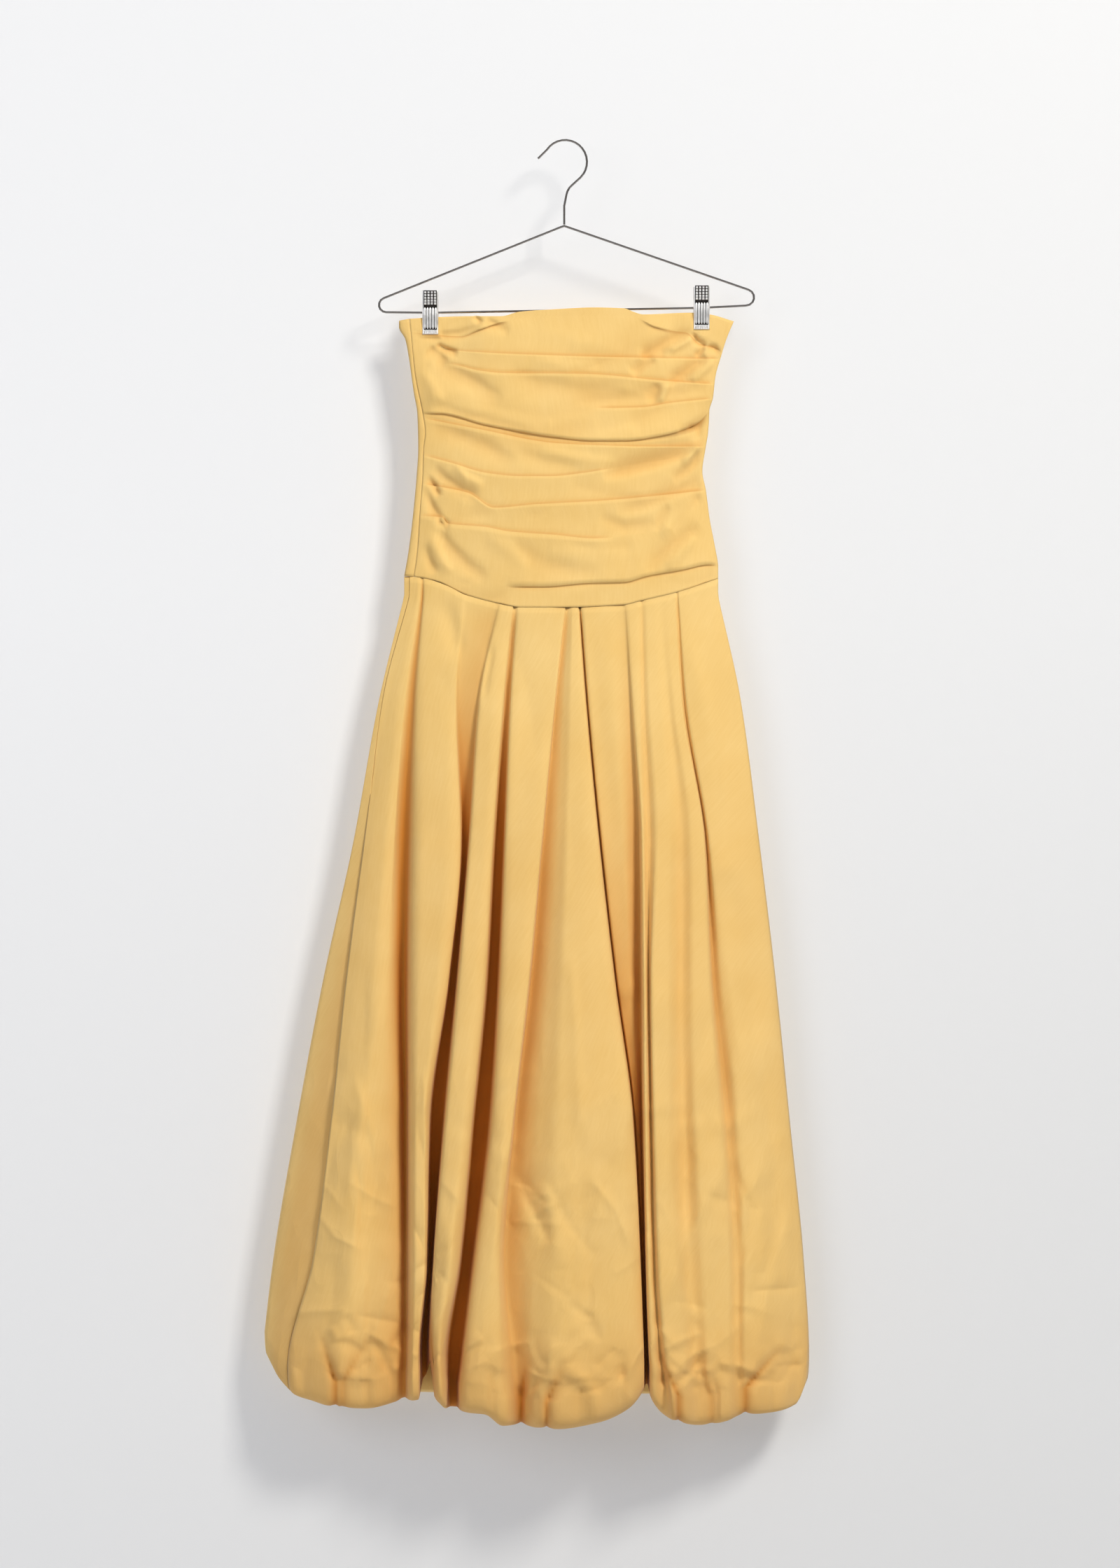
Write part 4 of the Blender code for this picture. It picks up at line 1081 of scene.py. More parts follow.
@dataclass(frozen=True)
class PaintedWall:
    """Matt white paint over plaster: nearly even, with the faint nap of a roller, and a painted glow
    of room light.
    """

    name: str
    colour: str
    one_sided: bool
    # Painted light: the paint glows by this much, for the light that a bright room adds, so that
    # shadows on it stay pale
    painted_room_light: float = 0.0
    room_colour: str = "#F7F9FF"
    # Shares of that painted glow at the left and right, where the key light reaches the right more,
    # and low down
    side_shares: tuple = (1.14, 0.64)
    side_reach: float = 1.0
    low_share: float = 0.68
    low_heights: tuple = (-1.7, -0.5)
    roughness: float = 0.95
    gloss: float = 0.1
    nap_mm: float = 4.0
    nap_depth_mm: float = 0.2
    nap_strength: float = 0.25

    def build(self) -> bpy.types.Material:
        """Build the finish; a one-sided wall lets views from behind it through.

        Returns:
            The material.
        """
        material, tree, shader = new_material(self.name)
        place = add_node(tree, "ShaderNodeTexCoord")
        nap = add_node(tree, "ShaderNodeTexNoise", inputs={
            "Vector": place.outputs["Object"], "Scale": 1 / (self.nap_mm * MM), "Detail": 3.0})
        bump = add_node(tree, "ShaderNodeBump", inputs={
            "Strength": self.nap_strength, "Distance": self.nap_depth_mm * MM,
            "Height": nap.outputs["Fac"]})
        tree.links.new(bump.outputs["Normal"], shader.inputs["Normal"])
        shader.inputs["Base Color"].default_value = hex_to_linear(self.colour)
        shader.inputs["Roughness"].default_value = self.roughness
        shader.inputs["Specular IOR Level"].default_value = self.gloss
        # Painted light: the paint glows, more on the left than on the right and less low down
        parts = add_node(tree, "ShaderNodeSeparateXYZ", inputs={0: place.outputs["Object"]})
        left, right = self.side_shares
        side = add_node(tree, "ShaderNodeMapRange", inputs={
            "Value": parts.outputs["X"], "From Min": -self.side_reach,
            "From Max": self.side_reach, "To Min": self.painted_room_light * left,
            "To Max": self.painted_room_light * right})
        low = add_node(tree, "ShaderNodeMapRange", inputs={
            "Value": parts.outputs["Z"], "From Min": self.low_heights[0],
            "From Max": self.low_heights[1], "To Min": self.low_share, "To Max": 1.0})
        glow = add_node(tree, "ShaderNodeMath", {"operation": "MULTIPLY"}, {
            0: side.outputs["Result"], 1: low.outputs["Result"]})
        shader.inputs["Emission Color"].default_value = hex_to_linear(self.room_colour)
        tree.links.new(glow.outputs[0], shader.inputs["Emission Strength"])
        if self.one_sided:
            face = add_node(tree, "ShaderNodeNewGeometry")
            clear = add_node(tree, "ShaderNodeBsdfTransparent")
            either = add_node(tree, "ShaderNodeMixShader", inputs={
                0: face.outputs["Backfacing"], 1: shader.outputs[0], 2: clear.outputs[0]})
            output = next(n for n in tree.nodes if n.type == "OUTPUT_MATERIAL")
            tree.links.new(either.outputs[0], output.inputs["Surface"])
        return material


class Slot(Enum):
    """The record's finishes that a piece can take."""

    POPLIN = "poplin"
    LINING = "lining"
    CHROME = "chrome"


class Held(Enum):
    """How a sheet is held."""

    GATHERED = "gathered"
    DRAPED = "draped"
    HUNG = "hung"


@dataclass(frozen=True)
class Cut:
    """The flat cut of a sheet: width and length in metres, how it is held and by what."""

    flat: tuple
    held: Held
    rests_on: tuple


def hand_over(piece: bpy.types.Object, material: bpy.types.Material,
              nodes: tuple = ()) -> None:
    """Give a finished piece its material, its body, and the solids that it stands for.

    Args:
        piece: The piece, at the origin.
        material: Its finish.
        nodes: Solids of the frame that it replaces.
    """
    piece.data.materials.clear()
    piece.data.materials.append(material)
    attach(piece, BODY)
    if nodes:
        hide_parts(*nodes)
    LOG.info("%s: %d faces", piece.name, len(piece.data.polygons))


def skirt_heights(seam: np.ndarray, hem: np.ndarray, upper: int, lower: int) -> np.ndarray:
    """Return the heights of a skirt's rows, from the waist to where the hem starts to roll.

    Args:
        seam: Height of the waist seam at each column.
        hem: Height of the hem at each column.
        upper: Rows down to SPLIT.
        lower: Rows below it.

    Returns:
        Heights, [rows, columns].
    """
    level = np.linspace(WAIST, SPLIT, upper, endpoint=False)[:, None]
    fade = 1 - ease((WAIST - level) / SEAM_FADE)
    above = level + (seam[None, :] - WAIST_GAP / 2 - WAIST) * fade
    share = np.linspace(0.0, 1.0, lower)[:, None]
    below = mix(SPLIT, hem[None, :] + HEM_ROLL[0][1], share)
    return np.concatenate((above, below))


def with_hem(x: np.ndarray, y: np.ndarray, z: np.ndarray, hem: np.ndarray,
             inner_x: np.ndarray, inner_y: np.ndarray) -> np.ndarray:
    """Add the rows that roll under a skirt's hem and stand up against the lining.

    Args:
        x: Widths of the skirt's rows, [rows, columns].
        y: Their depths.
        z: Their heights.
        hem: Height of the hem at each column.
        inner_x: Width of what is turned up.
        inner_y: Its depth.

    Returns:
        The points in millimetres, [rows, columns, 3].
    """
    rows = [np.stack((x, y, z))]
    for share, rise in HEM_ROLL[1:]:
        rows.append(np.stack((mix(x[-1], inner_x, share), mix(y[-1], inner_y, share),
                              hem + rise))[:, None])
    stitched = np.maximum(SmoothLine(LINING_HEM)(inner_x) + TURN_UP, hem + LEAST_TURN)
    for share in TURN_ROWS:
        rows.append(np.stack((inner_x, inner_y,
                              mix(hem + HEM_ROLL[-1][1], stitched, share)))[:, None])
    return to_space(*np.concatenate(rows, axis=1))


@dataclass
class SkirtFront:
    """The front of the skirt: pleats from the waist seam to a hem that is turned under."""

    finish: WovenCotton
    upper_rows: int = 86
    lower_rows: int = 104
    spacing: float = 3.5
    fewest: int = 2
    most: int = 10
    # Creases fade out over this height below the waist; the higher side_calm is, the nearer
    # to a side they reach
    waist_calm: float = 40.0
    side_calm: float = 18.0
    # The waist seam holds the pleats nearly flat
    caught: float = 0.55
    caught_reach: float = 20.0
    # Half width, height and depth of the folds at the hem's gathers, and how far they lift it
    gather_reach: float = 4.6
    gather_height: float = 58.0
    gather_depth: float = 8.0
    gather_rise: float = 4.5
    gather_side_calm: float = 12.0
    # A fold takes painted shade from this set-back share on, over this one, and more of it
    # further down
    fold_from: float = 0.13
    fold_over: float = 0.6
    fold_gain: tuple = (0.75, 1.1)
    fold_gain_height: float = 500.0
    # Painted shade over the whole skirt, so that it is darker than the bodice, more so near the hem
    # and in its gathers
    skirt_shade: float = 0.1
    skirt_shade_height: float = 400.0
    hem_shade: float = 0.2
    hem_shade_height: float = 110.0
    gather_shade: float = 0.7
    soft_gain: float = 1.5
    creases: tuple = SKIRT_CREASES
    crumples: tuple = FRONT_CRUMPLES
    cut: Cut = Cut((0.80, 1.0), Held.GATHERED, ("bodice_front_cloth",))

    def gathered(self, x: np.ndarray, above: np.ndarray) -> np.ndarray:
        """Return how close each point is to one of the hem's gathers.

        Args:
            x: Width of each point.
            above: How far each point is above the hem.

        Returns:
            Values from 0 to 1, in the same shape.
        """
        near = np.zeros(x.shape)
        for gather in HEM_GATHERS:
            off = np.abs(x - gather.x - gather.lean * above)
            near = np.maximum(near, gather.strength * np.exp(-off / self.gather_reach))
        return near * ease(1 - above / self.gather_height)

    def knots(self) -> tuple:
        """Read the fold lines at the heights of the rows.

        Returns:
            Their widths, heights and set-back shares, each [rows, lines].
        """
        seam = SmoothLine(WAIST_SEAM)
        waist_x = np.array([fold.across[0] for fold in FRONT_FOLDS], dtype=float)
        hem = np.array([fold.hem_z for fold in FRONT_FOLDS], dtype=float)
        z = skirt_heights(seam(waist_x), hem, self.upper_rows, self.lower_rows)
        x, back = np.empty(z.shape), np.empty(z.shape)
        for column, fold in enumerate(FRONT_FOLDS):
            x[:, column] = fold.run()(z[:, column])
            back[:, column] = fold.backing()(z[:, column])
        return x, z, back

    def grid(self) -> tuple:
        """Work out the outer face.

        Returns:
            Its points, rows downwards, and how much painted shade each takes.
        """
        knot_x, knot_z, knot_back = self.knots()
        widths = np.diff(knot_x, axis=1).max(axis=0)
        index, share = columns_between(widths, self.spacing, self.fewest, self.most)
        x = mix(knot_x[:, index], knot_x[:, index + 1], share[None, :])
        z = read_across(knot_x, knot_z, index, share)
        back = read_across(knot_x, knot_back, index, share)
        back = back * mix(self.caught, 1.0, ease((z[:1] - z) / self.caught_reach))
        depth = Outline.front(x, z) * (1 - back)
        lift = relief(self.creases, self.crumples, x, z) * self.soft_gain
        lift *= ease((z[:1] - z) / self.waist_calm)
        inward = 1 - np.abs(Outline.share(x, z))
        lift *= ease(inward * self.side_calm)
        above = z - z[-1:]
        gathered = self.gathered(x, above)
        depth = np.maximum(depth + lift - self.gather_depth * gathered, 0.0)
        hem = z[-1] - HEM_ROLL[0][1]
        hem = hem + self.gather_rise * gathered[-1] * ease(inward[-1] * self.gather_side_calm)
        inner_x = Outline.drawn_in(x[-1], LEVELS[-1])
        inner_y = -INNER_SHARE * Outline.front(inner_x, LEVELS[-1])
        points = with_hem(x, -depth, z, hem, inner_x, inner_y)
        # Painted shade, kept in the fold attribute: in deep folds, lower down, in the gathers and
        # near the hem
        fold = ease((back - self.fold_from) / self.fold_over)
        fold = fold * mix(*self.fold_gain, ease((WAIST - z) / self.fold_gain_height))
        fold = fold + self.skirt_shade * ease((WAIST - z) / self.skirt_shade_height)
        fold = fold + self.gather_shade * gathered
        fold = fold + self.hem_shade * ease(1 - above / self.hem_shade_height)
        under = np.repeat(fold[-1:], len(points) - len(fold), axis=0)
        return points, np.clip(np.concatenate((fold, under)), 0, 1)

    def make(self) -> None:
        """Build the piece and hand it over."""
        points, fold = self.grid()
        piece = shell("skirt_front_cloth", points, SHELL, fold, wear(points))
        hand_over(piece, self.finish.build(), ("skirt_front",))


@dataclass
class SkirtBack:
    """The back of the skirt, which wraps round the left edge to the seam on the front."""

    finish: WovenCotton
    upper_rows: int = 100
    lower_rows: int = 50
    spacing: float = 5.4
    fewest: int = 2
    most: int = 8
    skirt_inset: float = 5.0
    waist_inset: float = 4.0
    hem_insets: tuple = (8.0, 14.0)
    pleat_at_waist: float = 0.3
    pleat_ripe: float = 350.0
    pleat_half_width: float = 0.018
    pleat_lip: float = 0.12
    last_stations: tuple = (0.967, 1.0)
    # The first column lies this far back, and what is turned up of it this much further
    edge_set: float = 1.0
    edge_step: float = 1.0
    # Creases fade out towards the waist and where the cloth lies near BACK_CLEAR
    waist_calm: float = 40.0
    clear_calm: float = 8.0
    clear_from: float = 2.0
    deepest_crease: float = -2.5
    wrap_set: float = 0.4
    wrap_gap: float = 0.35
    wrap_draw: float = 26.0
    wrap_power: float = 0.8
    # Painted shade on the wrap, which lies in the shade of the first pleat
    wrap_shade: float = 0.26
    wrap_shade_reach: float = 18.0
    crumples: tuple = BACK_CRUMPLES
    cut: Cut = Cut((0.62, 0.95), Held.GATHERED, ("bodice_back_cloth",))

    def stations(self) -> list:
        """List the columns from the right edge to the left.

        Returns:
            Pairs of share and set-back share.
        """
        found = [(0.0, 0.0)]
        before = 0.0
        for pleat in BACK_PLEATS:
            found.append(((before + pleat.share) / 2, 0.0))
            found.append((pleat.share - self.pleat_half_width, self.pleat_lip))
            found.append((pleat.share, pleat.depth))
            found.append((pleat.share + self.pleat_half_width, self.pleat_lip))
            before = pleat.share
        found.append(((before + 1) / 2, 0.0))
        return found + [(share, 0.0) for share in self.last_stations]

    def flat_column(self, share: float, depth: float) -> tuple:
        """Return one column of the flat back.

        Args:
            share: Its share of the way from the right edge to the left.
            depth: The share of the swell that it lies in by.

        Returns:
            Widths, depths and heights, with the turned-up end's width and depth, and the hem.
        """
        waist_x = mix(SKIRT_RIGHT[0] - self.waist_inset, SKIRT_LEFT[0] + self.waist_inset, share)
        hem_x = mix(SKIRT_RIGHT[-1] - self.hem_insets[1], SKIRT_LEFT[-1] + self.hem_insets[0], share)
        hem = float(SmoothLine(BACK_HEM)(hem_x))
        seam = SmoothLine(BACK_WAIST)(waist_x)
        z = skirt_heights(np.array([seam]), np.array([hem]), self.upper_rows, self.lower_rows)[:, 0]
        left, right = Outline.edges(np.minimum(z, WAIST))
        x = mix(right - self.skirt_inset, left + self.skirt_inset, share)
        ripe = mix(self.pleat_at_waist, 1.0, ease((WAIST - z) / self.pleat_ripe))
        y = np.maximum(Outline.back(x, z) * (1 - depth * ripe), BACK_CLEAR)
        inner_x = float(Outline.drawn_in(x[-1], LEVELS[-1]))
        return x, y, z, inner_x, BACK_INNER, hem

    def edge_column(self) -> tuple:
        """Work out the first column, just behind the front's right edge.

        Returns:
            As flat_column returns.
        """
        edge = FRONT_FOLDS[-1]
        seam = np.array([WAIST_SEAM[-1][1]], dtype=float)
        z = skirt_heights(seam, np.array([edge.hem_z], dtype=float), self.upper_rows,
                          self.lower_rows)[:, 0]
        x = edge.run()(z) - SEAM_GAP
        y = np.full(z.shape, self.edge_set)
        return x, y, z, float(x[-1]) - SIDE_DRAW, self.edge_set + self.edge_step, edge.hem_z

    def wrap_column(self, wrap: WrapLine) -> tuple:
        """Return one column of the wrap round the left edge, as flat_column does.

        Args:
            wrap: Its line.

        Returns:
            Widths, depths and heights, with the turned-up end's width and depth, and the hem.
        """
        seam = FRONT_FOLDS[0]
        z = skirt_heights(np.array([BACK_WAIST[0][1] - SEAM_GAP]), np.array([wrap.hem_z]),
                          self.upper_rows, self.lower_rows)[:, 0]
        left, _ = Outline.edges(np.minimum(z, WAIST))
        seam_x = seam.run()(z)
        seam_y = self.wrap_set - Outline.front(seam_x, z) * (1 - seam.backing()(z))
        x = mix(left, seam_x - self.wrap_gap, wrap.forward)
        y = mix(self.wrap_set, seam_y, wrap.forward**self.wrap_power)
        inner_stop = float(Outline.drawn_in(np.float64(seam.hem_x), LEVELS[-1])) - self.wrap_set
        inner_x = mix(SKIRT_LEFT[-1] + self.wrap_draw, inner_stop, wrap.forward)
        return x, y, z, inner_x, wrap.inner_y, wrap.hem_z

    def grid(self) -> np.ndarray:
        """Work out the outer face.

        Returns:
            Its points, rows downwards and columns from the right.
        """
        columns = [self.edge_column()]
        columns += [self.flat_column(share, depth) for share, depth in self.stations()]
        columns += [self.wrap_column(wrap) for wrap in WRAP_LINES]
        knot_x, knot_y, knot_z = (np.stack([column[i] for column in columns], axis=1)
                                  for i in range(3))
        knot_inner_x, knot_inner_y, knot_hem = (np.array([[column[i] for column in columns]])
                                                for i in range(3, 6))
        steps = np.hypot(np.diff(knot_x, axis=1), np.diff(knot_y, axis=1))
        places = running(steps)
        index, share = columns_between(steps.max(axis=0), self.spacing, self.fewest, self.most)
        x, y, z = (read_across(places, knot, index, share) for knot in (knot_x, knot_y, knot_z))
        lift = relief((), self.crumples, x, z)
        free = ease((y - BACK_CLEAR - self.clear_from) / self.clear_calm)
        lift *= ease((z[:1] - z) / self.waist_calm) * free
        y = y + np.maximum(lift, self.deepest_crease)
        last = places[-1:]
        inner_x, inner_y, hem = (read_across(last, knot, index, share)[0]
                                 for knot in (knot_inner_x, knot_inner_y, knot_hem))
        return with_hem(x, y, z, hem, inner_x, inner_y)

    def make(self) -> None:
        """Build the piece and hand it over."""
        points = self.grid()
        # Painted shade on the wrap, kept in the fold attribute
        fold = self.wrap_shade * ease(-points[..., 1] / self.wrap_shade_reach)
        piece = shell("skirt_back_cloth", points, SHELL, fold, wear(points))
        hand_over(piece, self.finish.build(), ("skirt_back",))


@dataclass
class BodiceFront:
    """The draped front: layers of cloth that cross it in tucks, under a folded top band."""

    finish: WovenCotton
    columns: int = 190
    rows_between: int = 10
    rows_in_slit: int = 3
    # Rounds that find where a row crosses a column
    rounds: int = 4
    half_step: float = 0.45
    gap_ease: float = 26.0
    # A proud layer sinks back by this power, and the cloth beside it dips by a share of the step
    sink: float = 1.6
    dip: float = 0.38
    dip_reach: float = 5.5
    step_gain: float = 1.1
    soft_gain: float = 2.3
    # Tucks and creases fade out at the right edge and, but for a little, at the side seam
    edge_fade: float = 34.0
    seam_calm: float = 16.0
    seam_rest: float = 0.012
    # Full painted shade in a crease of this depth, and painted shade in the slit beside a tuck, over
    # its reach
    crease_full: float = 12.0
    slit_shade: float = 0.55
    slit_reach: float = 1.6
    # A clip's jaw: half its width, its foot below the bar, and where the cloth is free again
    jaw_half: float = 9.5
    jaw_foot: float = 26.0
    jaw_ease: float = 5.0
    creases: tuple = BODICE_CREASES
    crumples: tuple = BODICE_CRUMPLES
    cut: Cut = Cut((0.37, 0.34), Held.DRAPED, ("clip_left_front", "clip_right_front"))

    def lift(self, x: np.ndarray, z: np.ndarray) -> tuple:
        """Work out the tucks.

        Args:
            x: Width of each point.
            z: Height of each point.

        Returns:
            How far they lift the cloth, and how deep in a slit each point lies.
        """
        lift, slit = np.zeros(x.shape), np.zeros(x.shape)
        for tuck in TUCKS:
            below = SmoothLine(tuck.line)(x) - z
            on_layer = -below if tuck.above else below
            inside = (on_layer > 0) & (on_layer < tuck.reach)
            strength = np.ones(x.shape)
            for start, stop in tuck.gaps:
                strength = strength * ease(np.maximum(start - x, x - stop) / self.gap_ease)
            fall = (1 - np.clip(on_layer / tuck.reach, 0.0, 1.0))**self.sink
            lift += np.where(inside, strength * tuck.step * fall, 0.0)
            tucked = (on_layer <= 0) & (on_layer > -self.dip_reach)
            dip = (1 + on_layer / self.dip_reach)**2
            lift -= np.where(tucked, strength * tuck.step * self.dip * dip, 0.0)
            # How deep a point lies in the slit under a tuck sets the painted shade there
            slit += np.where(tucked, strength * np.exp(on_layer / self.slit_reach), 0.0)
        return lift, slit

    def lines(self) -> list:
        """List the rows from the top edge down.

        Returns:
            Each row's height as a function of x.
        """
        borders = [SmoothLine(BODICE_TOP)]
        counts = []
        for tuck in TUCKS:
            line = SmoothLine(tuck.line)
            borders.append(lambda x, line=line: line(x) + self.half_step)
            borders.append(lambda x, line=line: line(x) - self.half_step)
            counts += [self.rows_in_slit if tuck.name == "under fold" else self.rows_between, 1]
        waist = SmoothLine(WAIST_SEAM)
        borders.append(lambda x: waist(x) + WAIST_GAP / 2)
        counts.append(self.rows_between)
        found = []
        for upper, lower, count in zip(borders, borders[1:], counts):
            for step in range(count):
                share = step / count
                found.append(lambda x, a=upper, b=lower, s=share: mix(a(x), b(x), s))
        return found + [borders[-1]]

    def grid(self) -> tuple:
        """Work out the outer face.

        Returns:
            Its points, rows downwards, and how much painted shade each takes.
        """
        share = np.linspace(0.0, 1.0, self.columns)
        seam = SmoothLine(BODICE_SEAM)
        xs, zs = [], []
        for line in self.lines():
            z = line(np.zeros(self.columns))
            for _ in range(self.rounds):
                x = mix(seam(z), Outline.bodice_right(z), share)
                z = line(x)
            xs.append(x)
            zs.append(z)
        x, z = np.array(xs), np.array(zs)
        lift, slit = self.lift(x, z)
        calm = ease(self.edge_fade * (1 - share))
        calm = (calm * ease(self.seam_calm * (share + self.seam_rest)))[None, :]
        lift = lift * self.step_gain * calm
        depth = Outline.pinched(Outline.front(x, z) + lift, x, z)
        soft = relief(self.creases, self.crumples, x, z) * calm
        depth = depth + soft * self.soft_gain * self.under_clip(x, z)
        # Painted shade in the creases and in the slits beside the tucks
        fold = -soft / self.crease_full + self.slit_shade * slit * calm
        return to_space(x, -depth, z), np.clip(fold, 0, 1)

    def under_clip(self, x: np.ndarray, z: np.ndarray) -> np.ndarray:
        """Find where a clip's jaw presses the cloth flat.

        Args:
            x: Width of each point.
            z: Height of each point.

        Returns:
            0 under a jaw, and 1 away from it.
        """
        free = np.ones(x.shape)
        for clip in CLIPS:
            beside = ease((np.abs(x - clip.x) - self.jaw_half) / self.jaw_ease)
            below = ease((clip.bar - self.jaw_foot - z) / self.jaw_ease)
            free = free * np.maximum(beside, below)
        return free

    def make(self) -> None:
        """Build the piece and hand it over."""
        points, fold = self.grid()
        piece = shell("bodice_front_cloth", points, SHELL, fold, np.full(fold.shape, BODICE_WEAR))
        hand_over(piece, self.finish.build(), ("bodice_front",))


@dataclass
class BodiceBack:
    """The plain back of the bodice, which wraps round the left edge to the front's seam."""

    finish: WovenCotton
    rows: int = 74
    flats: int = 13
    # Rounds that find where a row crosses a column
    rounds: int = 3
    spacing: float = 3.6
    fewest: int = 2
    most: int = 8
    right_inset: float = 5.0
    left_inset: float = 3.5
    edge_inset: float = 0.4
    edge_set: float = 1.0
    least_depth: float = 3.6
    clear_calm: float = 3.0
    turn_share: float = 0.45
    turn_depth: float = 0.62
    crumples: tuple = BODICE_BACK_CRUMPLES
    cut: Cut = Cut((0.40, 0.31), Held.HUNG, ("clip_left_back", "clip_right_back"))

    def knots(self) -> np.ndarray:
        """Work out the knots across from the right edge to the seam.

        Returns:
            The knots, [rows, knots, 3].
        """
        top, waist, seam_line = SmoothLine(BACK_TOP), SmoothLine(BACK_WAIST), SmoothLine(BODICE_SEAM)
        rows = []
        for down in np.linspace(0.0, 1.0, self.rows):
            def height(x: float, down: float = down) -> float:
                """Return the height at x of the row that lies down by that share."""
                return mix(top(x), waist(x) + WAIST_GAP / 2, down)

            z = height(BODICE_RIGHT[-1][1])
            row = [(Outline.bodice_right(z) - self.edge_inset, self.edge_set, z)]
            for flat in range(self.flats + 1):
                z = height(0.0)
                for _ in range(self.rounds):
                    x = mix(Outline.bodice_right(z) - self.right_inset,
                            Outline.bodice_left(z) + self.left_inset, flat / self.flats)
                    z = height(x)
                depth = np.maximum(Outline.back(x, z), self.least_depth)
                row.append((x, Outline.pinched(depth, x, z), z))
            z = height(BODICE_LEFT[-1][1])
            left = Outline.bodice_left(z)
            row.append((left, SEAM_GAP, z))
            seam_z = mix(BODICE_SEAM[0][0], BODICE_SEAM[-1][0] + WAIST_GAP / 2, down)
            seam = seam_line(seam_z)
            depth = Outline.pinched(Outline.front(seam, seam_z), seam, seam_z)
            row.append((mix(left, seam, self.turn_share), -self.turn_depth * (depth + 1),
                        (z + seam_z) / 2))
            row.append((seam - SEAM_GAP, -depth, seam_z))
            rows.append(row)
        return np.array(rows, dtype=float)

    def grid(self) -> np.ndarray:
        """Work out the outer face.

        Returns:
            Its points, rows downwards and columns from the right.
        """
        knots = self.knots()
        steps = np.linalg.norm(np.diff(knots[..., :2], axis=1), axis=-1)
        places = running(steps)
        index, share = columns_between(steps.max(axis=0), self.spacing, self.fewest, self.most)
        x, y, z = (read_across(places, knots[..., i], index, share) for i in range(3))
        lift = relief((), self.crumples, x, z) * ease((y - self.least_depth) / self.clear_calm)
        return to_space(x, y + lift, z)

    def make(self) -> None:
        """Build the piece and hand it over."""
        points = self.grid()
        handled = np.full(points.shape[:2], BODICE_WEAR)
        piece = shell("bodice_back_cloth", points, SHELL, handled=handled)
        hand_over(piece, self.finish.build(), ("bodice_back",))


@dataclass
class HemLining:
    """The band of lining that the hem is turned up against."""

    finish: WovenCotton
    top: float = -1310.0
    left: float = -296.0
    right: float = 238.0
    columns: int = 110
    rows: int = 20
    set_in: float = 0.6
    # Faint waves: their depth, the lengths that they mix, and what the seamed end takes off
    ripple: float = 0.5
    ripple_lengths: tuple = (9.0, 23.0)
    ripple_fade: float = 0.6
    cut: Cut = Cut((1.08, 0.11), Held.HUNG, ("skirt_front_cloth", "skirt_back_cloth"))

    def grid(self) -> np.ndarray:
        """Work out the outer face.

        Returns:
            Its points, rows downwards, round from the left.
        """
        front = np.linspace(self.left, self.right, self.columns)
        back = front[-2:0:-1]
        x = np.concatenate((front, back))
        hem = SmoothLine(LINING_HEM)(x)
        y_front = -INNER_SHARE * Outline.front(front, np.full(front.shape, LEVELS[-1])) + self.set_in
        y = np.concatenate((y_front, np.full(back.shape, BACK_INNER - self.set_in)))
        share = np.linspace(0.0, 1.0, self.rows)[:, None]
        z = mix(self.top, hem[None, :], share)
        inward = np.concatenate((np.ones(front.shape), -np.ones(back.shape)))
        short, long = self.ripple_lengths
        wave = self.ripple * (1 + np.sin(x / short) * np.cos(x / long))
        y = y[None, :] + inward[None, :] * wave[None, :] * (1 - share * self.ripple_fade)
        return to_space(np.broadcast_to(x, z.shape), y, z)

    def make(self) -> None:
        """Build the piece and hand it over."""
        piece = shell("hem_lining_cloth", self.grid(), LINING_SHELL, tube=True)
        hand_over(piece, self.finish.build(), ("hem_lining",))


def repeat_tree() -> bpy.types.NodeTree:
    """Return a Geometry Nodes tree that repeats a shape in columns and rows.

    Returns:
        The tree; its inputs after the geometry are Columns, Rows, Across, Down and Finish.
    """
    tree = bpy.data.node_groups.new("repeat_in_rows", "GeometryNodeTree")
    face = tree.interface
    face.new_socket("Geometry", in_out="INPUT", socket_type="NodeSocketGeometry")
    for name, kind in (("Columns", "NodeSocketInt"), ("Rows", "NodeSocketInt"),
                       ("Across", "NodeSocketVector"), ("Down", "NodeSocketVector"),
                       ("Finish", "NodeSocketMaterial")):
        face.new_socket(name, in_out="INPUT", socket_type=kind)
    face.new_socket("Geometry", in_out="OUTPUT", socket_type="NodeSocketGeometry")
    given = add_node(tree, "NodeGroupInput").outputs
    line = {"mode": "OFFSET", "count_mode": "TOTAL"}
    across = add_node(tree, "GeometryNodeMeshLine", line,
                      {"Count": given["Columns"], "Offset": given["Across"]})
    down = add_node(tree, "GeometryNodeMeshLine", line,
                    {"Count": given["Rows"], "Offset": given["Down"]})
    grid = add_node(tree, "GeometryNodeInstanceOnPoints", inputs={
        "Points": across.outputs[0], "Instance": down.outputs[0]})
    points = add_node(tree, "GeometryNodeRealizeInstances", inputs={0: grid.outputs[0]})
    copies = add_node(tree, "GeometryNodeInstanceOnPoints", inputs={
        "Points": points.outputs[0], "Instance": given["Geometry"]})
    solid = add_node(tree, "GeometryNodeRealizeInstances", inputs={0: copies.outputs[0]})
    dressed = add_node(tree, "GeometryNodeSetMaterial", inputs={
        "Geometry": solid.outputs[0], "Material": given["Finish"]})
    add_node(tree, "NodeGroupOutput", inputs={0: dressed.outputs[0]})
    return tree


